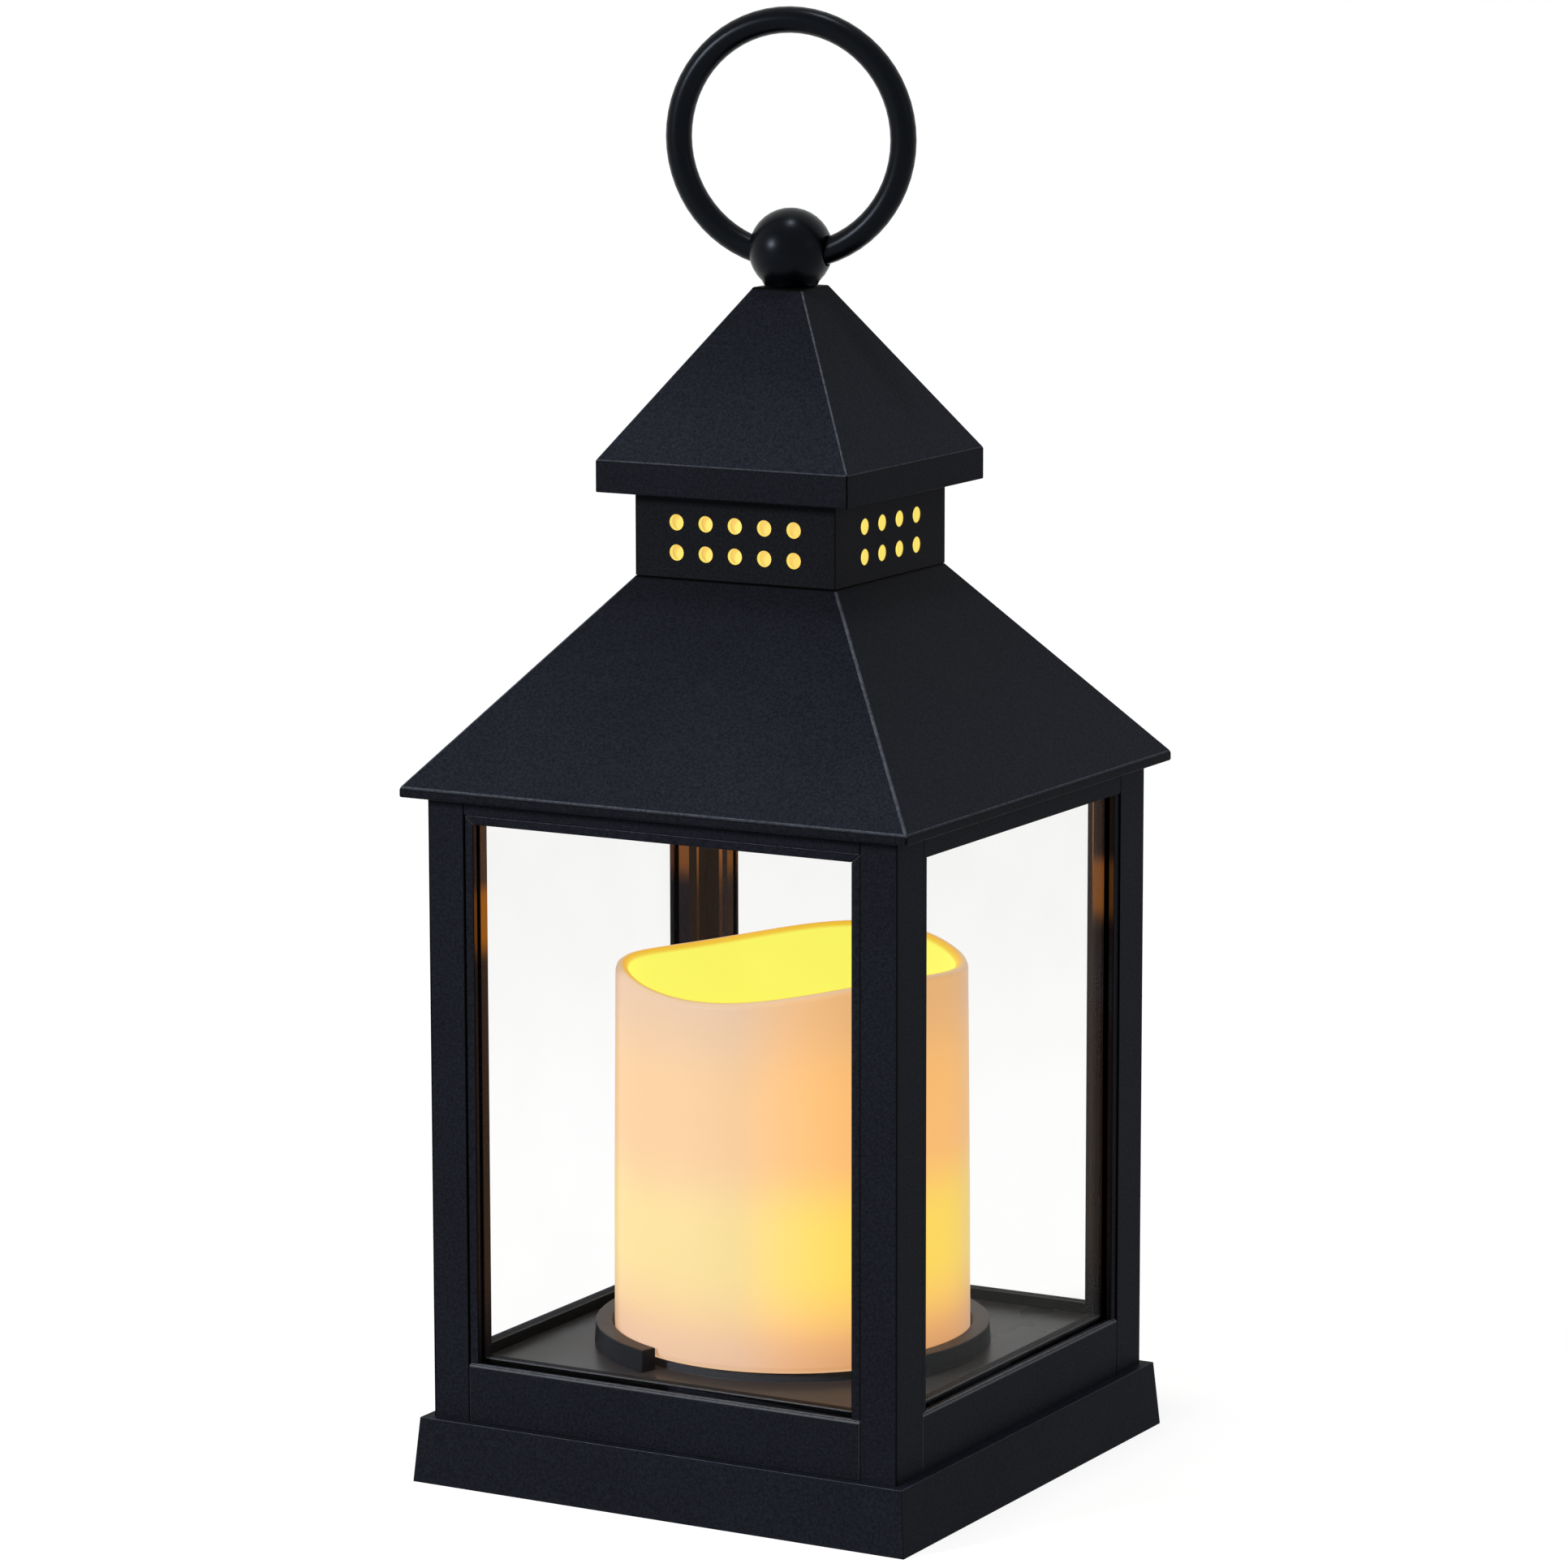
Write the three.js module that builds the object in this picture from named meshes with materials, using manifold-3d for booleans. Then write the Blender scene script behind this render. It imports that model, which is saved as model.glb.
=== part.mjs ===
// LED lantern with a ring handle: square plinth, glazed body, two hipped roofs and a wax-like candle
// All sizes are in millimetres. +Z is up and the front faces -Y
// The origin is in the middle of the underside
import * as THREE from 'three';
import { mergeVertices } from 'three/addons/utils/BufferGeometryUtils.js';
import Module from 'manifold-3d';

const wasm = await Module();
wasm.setup();

// Body: four posts with rails between them, standing on the plinth
const BODY_HALF = 51.75;
const BODY_HEIGHT = 124.0;
const POST_FRONT_WIDTH = 8.0;
const POST_SIDE_WIDTH = 10.3;

// Plinth: a flared skirt with a deck on top, open below, and a ledge round the body
const PLINTH_LEDGE = 2.15;
const PLINTH_FLARE = 1.1;
const PLINTH_HEIGHT = 13.0;
const PLINTH_WALL = 2.2;
const DECK_THICKNESS = 2.0;

// Layers of a glazed side, measured inward from its outer face
const BEAD_SET_BACK = 0.35;
const BEAD_WIDTH = 2.1;
const SLOT_START = 1.55;
const SLOT_DEPTH = 1.2;
const PANE_THICKNESS = 0.8;
const PANE_FACE_GAP = 0.4;
const PANE_SIDE_GAP = 0.3;
const FRAME_THICKNESS = 5.2;

// Rails, open below, with the pane standing in a slot
const BOTTOM_RAIL_HEIGHT = 11.7;
const BOTTOM_RAIL_LIP_RISE = 0.9;
const BOTTOM_RAIL_CHAMFER = 0.45;
const BOTTOM_SLOT_DEPTH = 1.8;
const BOTTOM_SLOT_FLOOR = 2.4;
const RAIL_WALL = 1.6;
const TOP_RAIL_HEIGHT = 4.9;
const TOP_SLOT_COVER = 1.7;
const TOP_BEAD_HEIGHT = 1.8;

// Inside floor: a shallow tray turned upside down on the deck, with a raised seat for the candle
const FLOOR_HEIGHT = 10.4;
const FLOOR_THICKNESS = 2.0;
const FLOOR_EDGE_GAP = 0.3;
const FLOOR_SKIRT = 1.6;
const WIRE_HOLE_RADIUS = 4.5;
const CANDLE_SEAT_HEIGHT = 1.9;
const CANDLE_SEAT_WIDTH = 6.0;

// Candle shell with a melted rim
const CANDLE_FOOT_RADIUS = 35.45;
const CANDLE_TAPER = 0.55;
const CANDLE_MIDDLE_TAPER = 0.12;
const CANDLE_WALL = 2.6;
const CANDLE_FOOT_ROUNDING = 1.6;
const CANDLE_BASE_THICKNESS = 2.6;
const CANDLE_HEIGHT = 75.1;
const RIM_LEAN = 1.5;
const RIM_LEAN_DEG = 141;
const RIM_WAVE = 1.2;
const RIM_WAVE_DEG = 59;
const RIM_WAVE_DEPTH = 45.4;

// Collar that holds the foot of the candle, open over part of its turn
const COLLAR_CANDLE_GAP = 0.4;
const COLLAR_WALL = 3.65;
const COLLAR_DRAFT = 0.25;
const COLLAR_HEIGHT = 4.5;
const COLLAR_GAP_START_DEG = -19;
const COLLAR_GAP_END_DEG = 58;

// Lamp inside the candle
const LAMP_FLANGE_RADIUS = 9.0;
const LAMP_FLANGE_THICKNESS = 1.6;
const LAMP_CANDLE_GAP = 3.0;
const LAMP_PILLAR_RADIUS = 5.5;
const LAMP_PILLAR_WALL = 1.5;
const LAMP_PILLAR_HEIGHT = 14.4;
const LAMP_BOARD_THICKNESS = 1.2;
const LED_RADIUS = 2.5;
const LED_RIM_WIDTH = 0.4;
const LED_RIM_HEIGHT = 1.0;
const LED_BODY_HEIGHT = 6.0;

// Lower roof, with a rim below that drops into the body
const EAVE_OVERHANG = 4.1;
const EAVE_HEIGHT = 1.9;
const LOWER_ROOF_HEIGHT = 41.7;
const ROOF_WALL = 2.0;
const ROOF_RIM_GAP = 0.3;
const ROOF_RIM_WALL = 1.2;
const ROOF_RIM_DEPTH = 2.6;

// Chimney: a square vent box with two rows of round holes, and the sleeve inside it
const CHIMNEY_HALF = 22.2;
const CHIMNEY_WALL = 1.2;
const CHIMNEY_HEIGHT = 20.8;
const HOLE_RADIUS = 1.6;
const LOW_ROW_HEIGHT = 4.9;
const ROW_PITCH = 5.9;
const ROW_COUNT = 2;
const FRONT_HOLE_COUNT = 5;
const FRONT_HOLE_PITCH = 6.5;
const SIDE_HOLE_COUNT = 4;
const SIDE_HOLE_PITCH = 7.0;
const SLEEVE_GAP = 0.2;
const SLEEVE_WALL = 1.0;

// Cap roof, which reaches down round the top of the chimney
const CAP_OVERHANG = 5.65;
const CAP_REACH_DOWN = 4.4;
const CAP_FASCIA_HEIGHT = 6.2;
const CAP_SLOPE_HEIGHT = 32.8;
const CAP_TOP_HALF = 5.4;
const CAP_LEDGE_THICKNESS = 2.0;
const CAP_CROWN_THICKNESS = 3.6;

// Ball and ring
const RING_TURN_DEG = 11.4;
const RING_RADIUS = 22.85;
const RING_TUBE_RADIUS = 2.57;
const RING_HOLE_GAP = 0.25;
const BALL_RADIUS = 8.2;
const BALL_FOOT_CUT = 1.2;
const BALL_FOOT_RISE = 0.9;
const BALL_FLAT_DEPTH = 0.7;
const BALL_NECK_INSET = 0.2;
const BALL_GAP = 0.2;
const BALL_SCREW_RADIUS = 1.4;
const BALL_SCREW_HEAD_RADIUS = 3.0;
const BALL_SCREW_HEAD_HEIGHT = 2.0;
const BALL_SCREW_TIP_GAP = 0.4;
const WASHER_RADIUS = 4.5;
const WASHER_THICKNESS = 0.8;
const SCREW_CLEARANCE = 0.35;
const SCREW_PILOT_CLEARANCE = 0.2;
const SCREW_SLOT_WIDTH = 0.8;
const SCREW_SLOT_DEPTH = 0.8;

// Underside: cover plate with its screws
const COVER_BOTTOM = 2.0;
const COVER_THICKNESS = 1.6;
const COVER_GAP = 0.3;
const BASE_SCREW_INSET = 3.15;
const BASE_SCREW_RADIUS = 1.3;
const BASE_SCREW_GRIP = 10.0;
const BASE_SCREW_HEAD_RADIUS = 2.6;
const BASE_SCREW_HEAD_HEIGHT = 1.4;
const BOSS_WALL = 1.75;

// Three batteries side by side, each 10.3 mm round and 44.5 mm long with its nub
const CELL_RADIUS = 5.15;
const CELL_GAP = 0.4;
const CELL_BODY_LENGTH = 43.3;
const CELL_EDGE = 0.4;
const CELL_NUB_RADIUS = 1.9;
const CELL_NUB_LENGTH = 1.2;
const CELL_DOOR_GAP = 0.65;

// Battery compartment and its door
const BAY_SIDE_GAP = 0.55;
const BAY_TOP_GAP = 0.65;
const BAY_WALL = 1.2;
const CONTACT_SPACE = 2.75;
const DOOR_THICKNESS = 1.4;
const DOOR_GAP = 0.3;
const TAB_WIDTH = 2.8;
const TAB_ROOT = 1.4;
const TAB_REACH = 2.4;
const TAB_LIFT = 0.3;
const TAB_THICKNESS = 1.2;
const TAB_SLOT_HEIGHT = 2.8;
const NOTCH_RADIUS = 5.0;
const NOTCH_OFFSET = 2.4;
const LATCH_NIB_PLACE = 10.0;
const LATCH_NIB_WIDTH = 4.0;
const LATCH_NIB_REACH = 0.2;
const LATCH_NIB_LIFT = 0.4;

// Battery contacts
const CONTACT_THICKNESS = 0.5;
const CONTACT_WALL_GAP = 0.1;
const CONTACT_SIDE_GAP = 1.0;
const CONTACT_BELOW = 2.8;
const CONTACT_ABOVE = 4.0;
const CONTACT_CELL_GAP = 0.1;
const PIP_TIP_RADIUS = 1.2;
const PIP_FOOT_RADIUS = 1.8;
const SPRING_WIRE_RADIUS = 0.35;
const SPRING_FOOT_RADIUS = 3.0;
const SPRING_TIP_RADIUS = 1.8;
const SPRING_TURNS = 2.5;

// Slide switch
const SWITCH_HALF_LENGTH = 6.5;
const SWITCH_HALF_WIDTH = 3.2;
const SWITCH_HEIGHT = 5.4;
const KNOB_TRAVEL = 4.0;
const KNOB_LENGTH = 3.0;
const KNOB_WIDTH = 2.6;
const KNOB_BOTTOM = 0.9;
const KNOB_GAP = 0.4;
const KNOB_FOOT_LIP = 0.6;
const KNOB_FOOT_LIFT = 0.2;
const KNOB_FOOT_HEIGHT = 3.0;
const KNOB_SIDE_GAP = 0.3;

// Sides of the round pieces, and how far two bodies of one piece reach into each other
const SCREW_SIDES = 14;
const HOLE_SIDES = 16;
const CELL_SIDES = 18;
const ROUND_SIDES = 28;
const BALL_SIDES = 40;
const CANDLE_SIDES = 72;
const RING_SIDES = 64;
const JOIN_LAP = 0.2;

// Places across that follow from the sizes above
const PLINTH_TOP_HALF = BODY_HALF + PLINTH_LEDGE;
const PLINTH_FOOT_HALF = PLINTH_TOP_HALF + PLINTH_FLARE;
const EAVE_HALF = BODY_HALF + EAVE_OVERHANG;
const CAP_HALF = CHIMNEY_HALF + CAP_OVERHANG;
const FRAME_INSIDE_HALF = BODY_HALF - FRAME_THICKNESS;
const SLOT_END = SLOT_START + PANE_THICKNESS + PANE_FACE_GAP;
const RAIL_CORE_END = FRAME_THICKNESS - RAIL_WALL;
const CANDLE_TOP_RADIUS = CANDLE_FOOT_RADIUS - CANDLE_TAPER;
const CANDLE_BORE_RADIUS = CANDLE_TOP_RADIUS - CANDLE_WALL;
const CANDLE_BASE_HOLE = LAMP_FLANGE_RADIUS + LAMP_CANDLE_GAP;
const CANDLE_SEAT_RADIUS = CANDLE_FOOT_RADIUS - CANDLE_FOOT_ROUNDING;
const COLLAR_INNER = CANDLE_FOOT_RADIUS + COLLAR_CANDLE_GAP;
const COLLAR_OUTER_FOOT = COLLAR_INNER + COLLAR_WALL;
const LAMP_PILLAR_BORE = LAMP_PILLAR_RADIUS - LAMP_PILLAR_WALL;
const BALL_NECK_RADIUS = CAP_TOP_HALF - BALL_NECK_INSET;
const BALL_MOUTH = BALL_RADIUS - BALL_FLAT_DEPTH;
const RING_DROP = ringSag(BALL_MOUTH);
const BASE_SCREW_PLACE = BODY_HALF - BASE_SCREW_INSET;
const BASE_SCREW_HOLE = BASE_SCREW_RADIUS + SCREW_CLEARANCE;
const CELL_PITCH = 2 * CELL_RADIUS + CELL_GAP;
const BAY_HALF_LENGTH = CELL_BODY_LENGTH / 2 + CELL_NUB_LENGTH + CONTACT_SPACE;
const BAY_HALF_WIDTH = CELL_PITCH + CELL_RADIUS + BAY_SIDE_GAP;
const TAB_PLACE = CELL_PITCH / 2;
const SWITCH_PLACE = (BAY_HALF_WIDTH + BAY_WALL + BODY_HALF) / 2;
const KNOB_REST = -KNOB_TRAVEL / 2;

// Heights above the table that follow from the sizes above
const COVER_TOP = COVER_BOTTOM + COVER_THICKNESS;
const DOOR_TOP = COVER_BOTTOM + DOOR_THICKNESS;
const CELL_HEIGHT = DOOR_TOP + CELL_DOOR_GAP + CELL_RADIUS;
const BAY_INSIDE_TOP = CELL_HEIGHT + CELL_RADIUS + BAY_TOP_GAP;
const FLOOR_TOP = PLINTH_HEIGHT + FLOOR_HEIGHT;
const FLOOR_BOTTOM = FLOOR_TOP - FLOOR_THICKNESS;
const CANDLE_FOOT = FLOOR_TOP + CANDLE_SEAT_HEIGHT;
const BOTTOM_RAIL_TOP = PLINTH_HEIGHT + BOTTOM_RAIL_HEIGHT;
const PANE_BOTTOM = BOTTOM_RAIL_TOP - BOTTOM_SLOT_DEPTH;
const RAIL_CORE_TOP = PANE_BOTTOM - BOTTOM_SLOT_FLOOR;
const BASE_SCREW_TOP = PLINTH_HEIGHT + BASE_SCREW_GRIP;
const BODY_TOP = PLINTH_HEIGHT + BODY_HEIGHT;
const WINDOW_TOP = BODY_TOP - TOP_RAIL_HEIGHT;
const TOP_SLOT_END = BODY_TOP - TOP_SLOT_COVER;
const LAMP_PILLAR_TOP = FLOOR_TOP + LAMP_PILLAR_HEIGHT;
const RIM_MEAN_HEIGHT = CANDLE_FOOT + CANDLE_HEIGHT;
const RIM_WAVE_START = RIM_MEAN_HEIGHT - RIM_WAVE_DEPTH;
const EAVE_TOP = BODY_TOP + EAVE_HEIGHT;
const LOWER_ROOF_TOP = BODY_TOP + LOWER_ROOF_HEIGHT;
const CHIMNEY_TOP = LOWER_ROOF_TOP + CHIMNEY_HEIGHT;
const CAP_BOTTOM = CHIMNEY_TOP - CAP_REACH_DOWN;
const CAP_FASCIA_TOP = CAP_BOTTOM + CAP_FASCIA_HEIGHT;
const CAP_TOP = CAP_FASCIA_TOP + CAP_SLOPE_HEIGHT;
const CROWN_UNDERSIDE = CAP_TOP - CAP_CROWN_THICKNESS;
const BALL_CENTRE = CAP_TOP + BALL_RADIUS - BALL_FOOT_CUT;
const BALL_SCREW_TIP = BALL_CENTRE - ballHoleRadius(0) - BALL_SCREW_TIP_GAP;
const RING_CENTRE = BALL_CENTRE + RING_RADIUS - RING_DROP;

// Materials
function plasticMaterial(color, roughness) {
  return new THREE.MeshStandardMaterial({ color, roughness, metalness: 0 });
}

function metalMaterial(color, roughness) {
  return new THREE.MeshStandardMaterial({ color, roughness, metalness: 1 });
}

const mattBlack = plasticMaterial(0x1d2028, 0.62);
const satinBlack = plasticMaterial(0x15171c, 0.4);
const darkFloor = plasticMaterial(0x2b2d31, 0.5);
const clearPane = new THREE.MeshStandardMaterial({
  color: 0xf4f6f6,
  roughness: 0.05,
  metalness: 0,
  transparent: true,
  opacity: 0.25,
});
const candleWax = plasticMaterial(0xf6cf9f, 0.55);
const yellowSleeve = plasticMaterial(0xfbdc5a, 0.6);
const lampPlastic = plasticMaterial(0xe9e4d8, 0.5);
const boardGreen = plasticMaterial(0x2f6b3c, 0.55);
const ledAmber = plasticMaterial(0xffc65c, 0.15);
const springSteel = metalMaterial(0xc9cbcf, 0.3);
const screwSteel = metalMaterial(0xb4b7bb, 0.35);
const cellWrap = plasticMaterial(0x3c6f8f, 0.35);

// Turn a three.js geometry into a solid, facing out
function solid(geometry) {
  const bare = geometry.index ? geometry.toNonIndexed() : geometry.clone();
  bare.deleteAttribute('normal');
  bare.deleteAttribute('uv');
  const merged = mergeVertices(bare, 1e-4);
  const points = merged.attributes.position.array;
  const corners = [];
  let volume = 0;
  for (let i = 0; i < merged.index.count; i += 3) {
    const [a, b, c] = [0, 1, 2].map((k) => merged.index.array[i + k]);
    if (a === b || b === c || c === a) continue;
    const [pa, pb, pc] = [a, b, c].map((k) => new THREE.Vector3().fromArray(points, 3 * k));
    volume += pa.dot(pb.cross(pc));
    corners.push(a, b, c);
  }
  if (volume < 0) corners.reverse();
  return new wasm.Manifold(new wasm.Mesh({
    numProp: 3,
    vertProperties: new Float32Array(points),
    triVerts: new Uint32Array(corners),
  }));
}

// Turn a solid back into a geometry with flat faces
function faces(body) {
  const mesh = body.getMesh();
  const geometry = new THREE.BufferGeometry();
  geometry.setAttribute('position', new THREE.BufferAttribute(new Float32Array(mesh.vertProperties), 3));
  geometry.setIndex(new THREE.BufferAttribute(new Uint32Array(mesh.triVerts), 1));
  const flat = geometry.toNonIndexed();
  flat.computeVertexNormals();
  return flat;
}

function joined(bodies) {
  return bodies.reduce((whole, body) => whole.add(body));
}

function cutBy(body, tools) {
  return tools.reduce((rest, tool) => rest.subtract(tool), body);
}

// A block between two heights, given by its edges
function block(x0, x1, y0, y1, z0, z1) {
  const box = new THREE.BoxGeometry(x1 - x0, y1 - y0, z1 - z0);
  box.translate((x0 + x1) / 2, (y0 + y1) / 2, (z0 + z1) / 2);
  return solid(box);
}

function squareBlock(half, z0, z1) {
  return block(-half, half, -half, half, z0, z1);
}

// A square block whose half width changes from the bottom to the top
function squareTaper(halfLow, z0, halfHigh, z1) {
  const box = new THREE.BoxGeometry(2, 2, z1 - z0);
  box.translate(0, 0, (z0 + z1) / 2);
  const position = box.attributes.position;
  for (let i = 0; i < position.count; i += 1) {
    const half = position.getZ(i) > (z0 + z1) / 2 ? halfHigh : halfLow;
    position.setXY(i, position.getX(i) * half, position.getY(i) * half);
  }
  return solid(box);
}

function outline(points) {
  return new THREE.Shape(points.map(([u, v]) => new THREE.Vector2(u, v)));
}

// A flat outline in X and Y drawn up from z0 to z1
function uprightGeometry(points, z0, z1) {
  const geometry = new THREE.ExtrudeGeometry(outline(points), { depth: z1 - z0, bevelEnabled: false });
  geometry.translate(0, 0, z0);
  return geometry;
}

// A section in Y and Z drawn along X from x0 to x1
function railAlongX(points, x0, x1) {
  const geometry = new THREE.ExtrudeGeometry(outline(points), { depth: x1 - x0, bevelEnabled: false });
  geometry.translate(0, 0, x0);
  const turn = new THREE.Matrix4().set(0, 0, 1, 0, 1, 0, 0, 0, 0, 1, 0, 0, 0, 0, 0, 1);
  geometry.applyMatrix4(turn);
  return solid(geometry);
}

// A round body from pairs of radius and height
function turnedGeometry(profile, segments) {
  const points = profile.map(([r, z]) => new THREE.Vector2(r, z));
  const geometry = new THREE.LatheGeometry(points, segments);
  geometry.rotateX(Math.PI / 2);
  return geometry;
}

function turned(profile, segments = ROUND_SIDES) {
  return solid(turnedGeometry(profile, segments));
}

function pin(radius, x, y, z0, z1, segments = SCREW_SIDES) {
  const geometry = new THREE.CylinderGeometry(radius, radius, z1 - z0, segments);
  geometry.rotateX(Math.PI / 2);
  geometry.translate(x, y, (z0 + z1) / 2);
  return solid(geometry);
}

// A square body from pairs of half width and height, made as a turned body with four sides
function squareTower(levels) {
  const [first] = levels;
  const last = levels[levels.length - 1];
  const profile = [[0, first[1]], ...levels, [0, last[1]]];
  const geometry = turnedGeometry(profile.map(([half, z]) => [half * Math.SQRT2, z]), 4);
  geometry.rotateZ(Math.PI / 4);
  return solid(geometry);
}

// Direction around the lantern: 0 degrees is the front, 90 degrees is the +X side
function around(degrees, radius) {
  const angle = THREE.MathUtils.degToRad(degrees);
  return [radius * Math.sin(angle), -radius * Math.cos(angle)];
}

const lantern = new THREE.Group();
lantern.name = 'led_lantern';

function addPiece(name, body, material, turnDegrees = 0) {
  const geometry = faces(body);
  geometry.rotateZ(THREE.MathUtils.degToRad(turnDegrees));
  const mesh = new THREE.Mesh(geometry, material);
  mesh.name = name;
  lantern.add(mesh);
}

// Base
function plinthInsideHalf(z) {
  return PLINTH_FOOT_HALF - PLINTH_WALL - (PLINTH_FLARE * z) / PLINTH_HEIGHT;
}

function plinth() {
  const deckBottom = PLINTH_HEIGHT - DECK_THICKNESS;
  const skirt = cutBy(squareTaper(PLINTH_FOOT_HALF, 0, PLINTH_TOP_HALF, PLINTH_HEIGHT), [
    squareTaper(plinthInsideHalf(-1), -1, plinthInsideHalf(deckBottom), deckBottom),
  ]);
  const bosses = cornerPlaces(BASE_SCREW_PLACE).map(([x, y]) => (
    pin(BASE_SCREW_HOLE + BOSS_WALL, x, y, COVER_TOP, deckBottom + 1)
  ));
  const holes = cornerPlaces(BASE_SCREW_PLACE).map(([x, y]) => (
    pin(BASE_SCREW_HOLE, x, y, 0, PLINTH_HEIGHT + 1)
  ));
  const bayHalfLength = BAY_HALF_LENGTH + BAY_WALL + DOOR_GAP;
  const bayHalfWidth = BAY_HALF_WIDTH + BAY_WALL + DOOR_GAP;
  const bayOpening = block(
    -bayHalfLength, bayHalfLength, -bayHalfWidth, bayHalfWidth, deckBottom - 1, PLINTH_HEIGHT + 1,
  );
  return cutBy(joined([skirt, ...bosses]), [...holes, bayOpening]);
}

function cornerPlaces(distance) {
  return [[-distance, -distance], [distance, -distance], [distance, distance], [-distance, distance]];
}

function baseCover() {
  const half = plinthInsideHalf(COVER_TOP) - COVER_GAP;
  const plate = squareBlock(half, COVER_BOTTOM, COVER_TOP);
  const below = COVER_BOTTOM - 1;
  const above = COVER_TOP + 1;
  const doorway = block(-BAY_HALF_LENGTH, BAY_HALF_LENGTH, -BAY_HALF_WIDTH, BAY_HALF_WIDTH, below, above);
  const slotHalf = (KNOB_TRAVEL + KNOB_LENGTH) / 2 + KNOB_GAP;
  const knobSlot = block(
    -slotHalf, slotHalf,
    SWITCH_PLACE - KNOB_WIDTH / 2 - KNOB_GAP, SWITCH_PLACE + KNOB_WIDTH / 2 + KNOB_GAP,
    below, above,
  );
  const holes = cornerPlaces(BASE_SCREW_PLACE).map(([x, y]) => (
    pin(BASE_SCREW_HOLE, x, y, below, above)
  ));
  return cutBy(plate, [doorway, knobSlot, ...holes]);
}

// The slot in a screw's head, which faces down
function screwSlot(x, y, headRadius, headBottom) {
  const halfWidth = SCREW_SLOT_WIDTH / 2;
  return block(
    x - headRadius, x + headRadius, y - halfWidth, y + halfWidth,
    headBottom - 1, headBottom + SCREW_SLOT_DEPTH,
  );
}

function baseScrew(x, y) {
  const headBottom = COVER_BOTTOM - BASE_SCREW_HEAD_HEIGHT;
  const shank = pin(BASE_SCREW_RADIUS, x, y, COVER_BOTTOM - JOIN_LAP, BASE_SCREW_TOP);
  const head = pin(BASE_SCREW_HEAD_RADIUS, x, y, headBottom, COVER_BOTTOM);
  return joined([shank, head]).subtract(screwSlot(x, y, BASE_SCREW_HEAD_RADIUS, headBottom));
}

function floorPlate() {
  const half = FRAME_INSIDE_HALF - FLOOR_EDGE_GAP;
  const tray = cutBy(squareBlock(half, PLINTH_HEIGHT, FLOOR_TOP), [
    squareBlock(half - FLOOR_SKIRT, PLINTH_HEIGHT - 1, FLOOR_BOTTOM),
    pin(WIRE_HOLE_RADIUS, 0, 0, FLOOR_BOTTOM - 1, FLOOR_TOP + 1, ROUND_SIDES),
  ]);
  const seatInner = CANDLE_SEAT_RADIUS - CANDLE_SEAT_WIDTH;
  const seatBottom = FLOOR_TOP - JOIN_LAP;
  const seat = turned([
    [seatInner, seatBottom],
    [CANDLE_SEAT_RADIUS, seatBottom],
    [CANDLE_SEAT_RADIUS, CANDLE_FOOT],
    [seatInner, CANDLE_FOOT],
    [seatInner, seatBottom],
  ]);
  return joined([tray, seat]);
}

function candleCollar() {
  const steps = 50;
  const turn = 360 - (COLLAR_GAP_END_DEG - COLLAR_GAP_START_DEG);
  const outer = [];
  const inner = [];
  for (let i = 0; i <= steps; i += 1) {
    const degrees = COLLAR_GAP_END_DEG + (turn * i) / steps;
    outer.push(around(degrees, COLLAR_OUTER_FOOT));
    inner.push(around(degrees, COLLAR_INNER));
  }
  const geometry = uprightGeometry([...outer, ...inner.reverse()], FLOOR_TOP, FLOOR_TOP + COLLAR_HEIGHT);
  const position = geometry.attributes.position;
  for (let i = 0; i < position.count; i += 1) {
    const radius = Math.hypot(position.getX(i), position.getY(i));
    const isTop = position.getZ(i) > FLOOR_TOP + COLLAR_HEIGHT / 2;
    const isOuter = radius > (COLLAR_INNER + COLLAR_OUTER_FOOT) / 2;
    const scale = isTop && isOuter ? 1 - COLLAR_DRAFT / COLLAR_OUTER_FOOT : 1;
    position.setXY(i, position.getX(i) * scale, position.getY(i) * scale);
  }
  return solid(geometry);
}

// Body
function cornerPost() {
  const front = POST_FRONT_WIDTH;
  const side = POST_SIDE_WIDTH;
  const section = [
    [0, 0],
    [front, 0],
    [front, SLOT_START],
    [front - SLOT_DEPTH, SLOT_START],
    [front - SLOT_DEPTH, SLOT_END],
    [front + BEAD_WIDTH, SLOT_END],
    [front + BEAD_WIDTH, FRAME_THICKNESS],
    [FRAME_THICKNESS, FRAME_THICKNESS],
    [FRAME_THICKNESS, side + BEAD_WIDTH],
    [SLOT_END, side + BEAD_WIDTH],
    [SLOT_END, side - SLOT_DEPTH],
    [SLOT_START, side - SLOT_DEPTH],
    [SLOT_START, side],
    [0, side],
  ];
  const placed = section.map(([a, b]) => [a - BODY_HALF, b - BODY_HALF]);
  const bar = solid(uprightGeometry(placed, PLINTH_HEIGHT, BODY_TOP));
  const pilotRadius = BASE_SCREW_RADIUS + SCREW_PILOT_CLEARANCE;
  const pilot = pin(pilotRadius, -BASE_SCREW_PLACE, -BASE_SCREW_PLACE, 0, BASE_SCREW_TOP + 1);
  return bar.subtract(pilot);
}

// The left post at the front, seen from the front, mirrored for the other corners
function mirroredPost(flipX, flipY) {
  const geometry = faces(cornerPost());
  geometry.scale(flipX ? -1 : 1, flipY ? -1 : 1, 1);
  return solid(geometry);
}

// A section drawn between two posts, its layers shortened where the posts reach further in
function betweenPosts(layers, postWidth) {
  const outerHalf = BODY_HALF - postWidth;
  const innerHalf = outerHalf - BEAD_WIDTH;
  return joined(layers.map(({ points, reachesPosts }) => {
    const half = reachesPosts ? outerHalf : innerHalf;
    return railAlongX(points.map(([inward, z]) => [inward - BODY_HALF, z]), -half, half);
  }));
}

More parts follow.
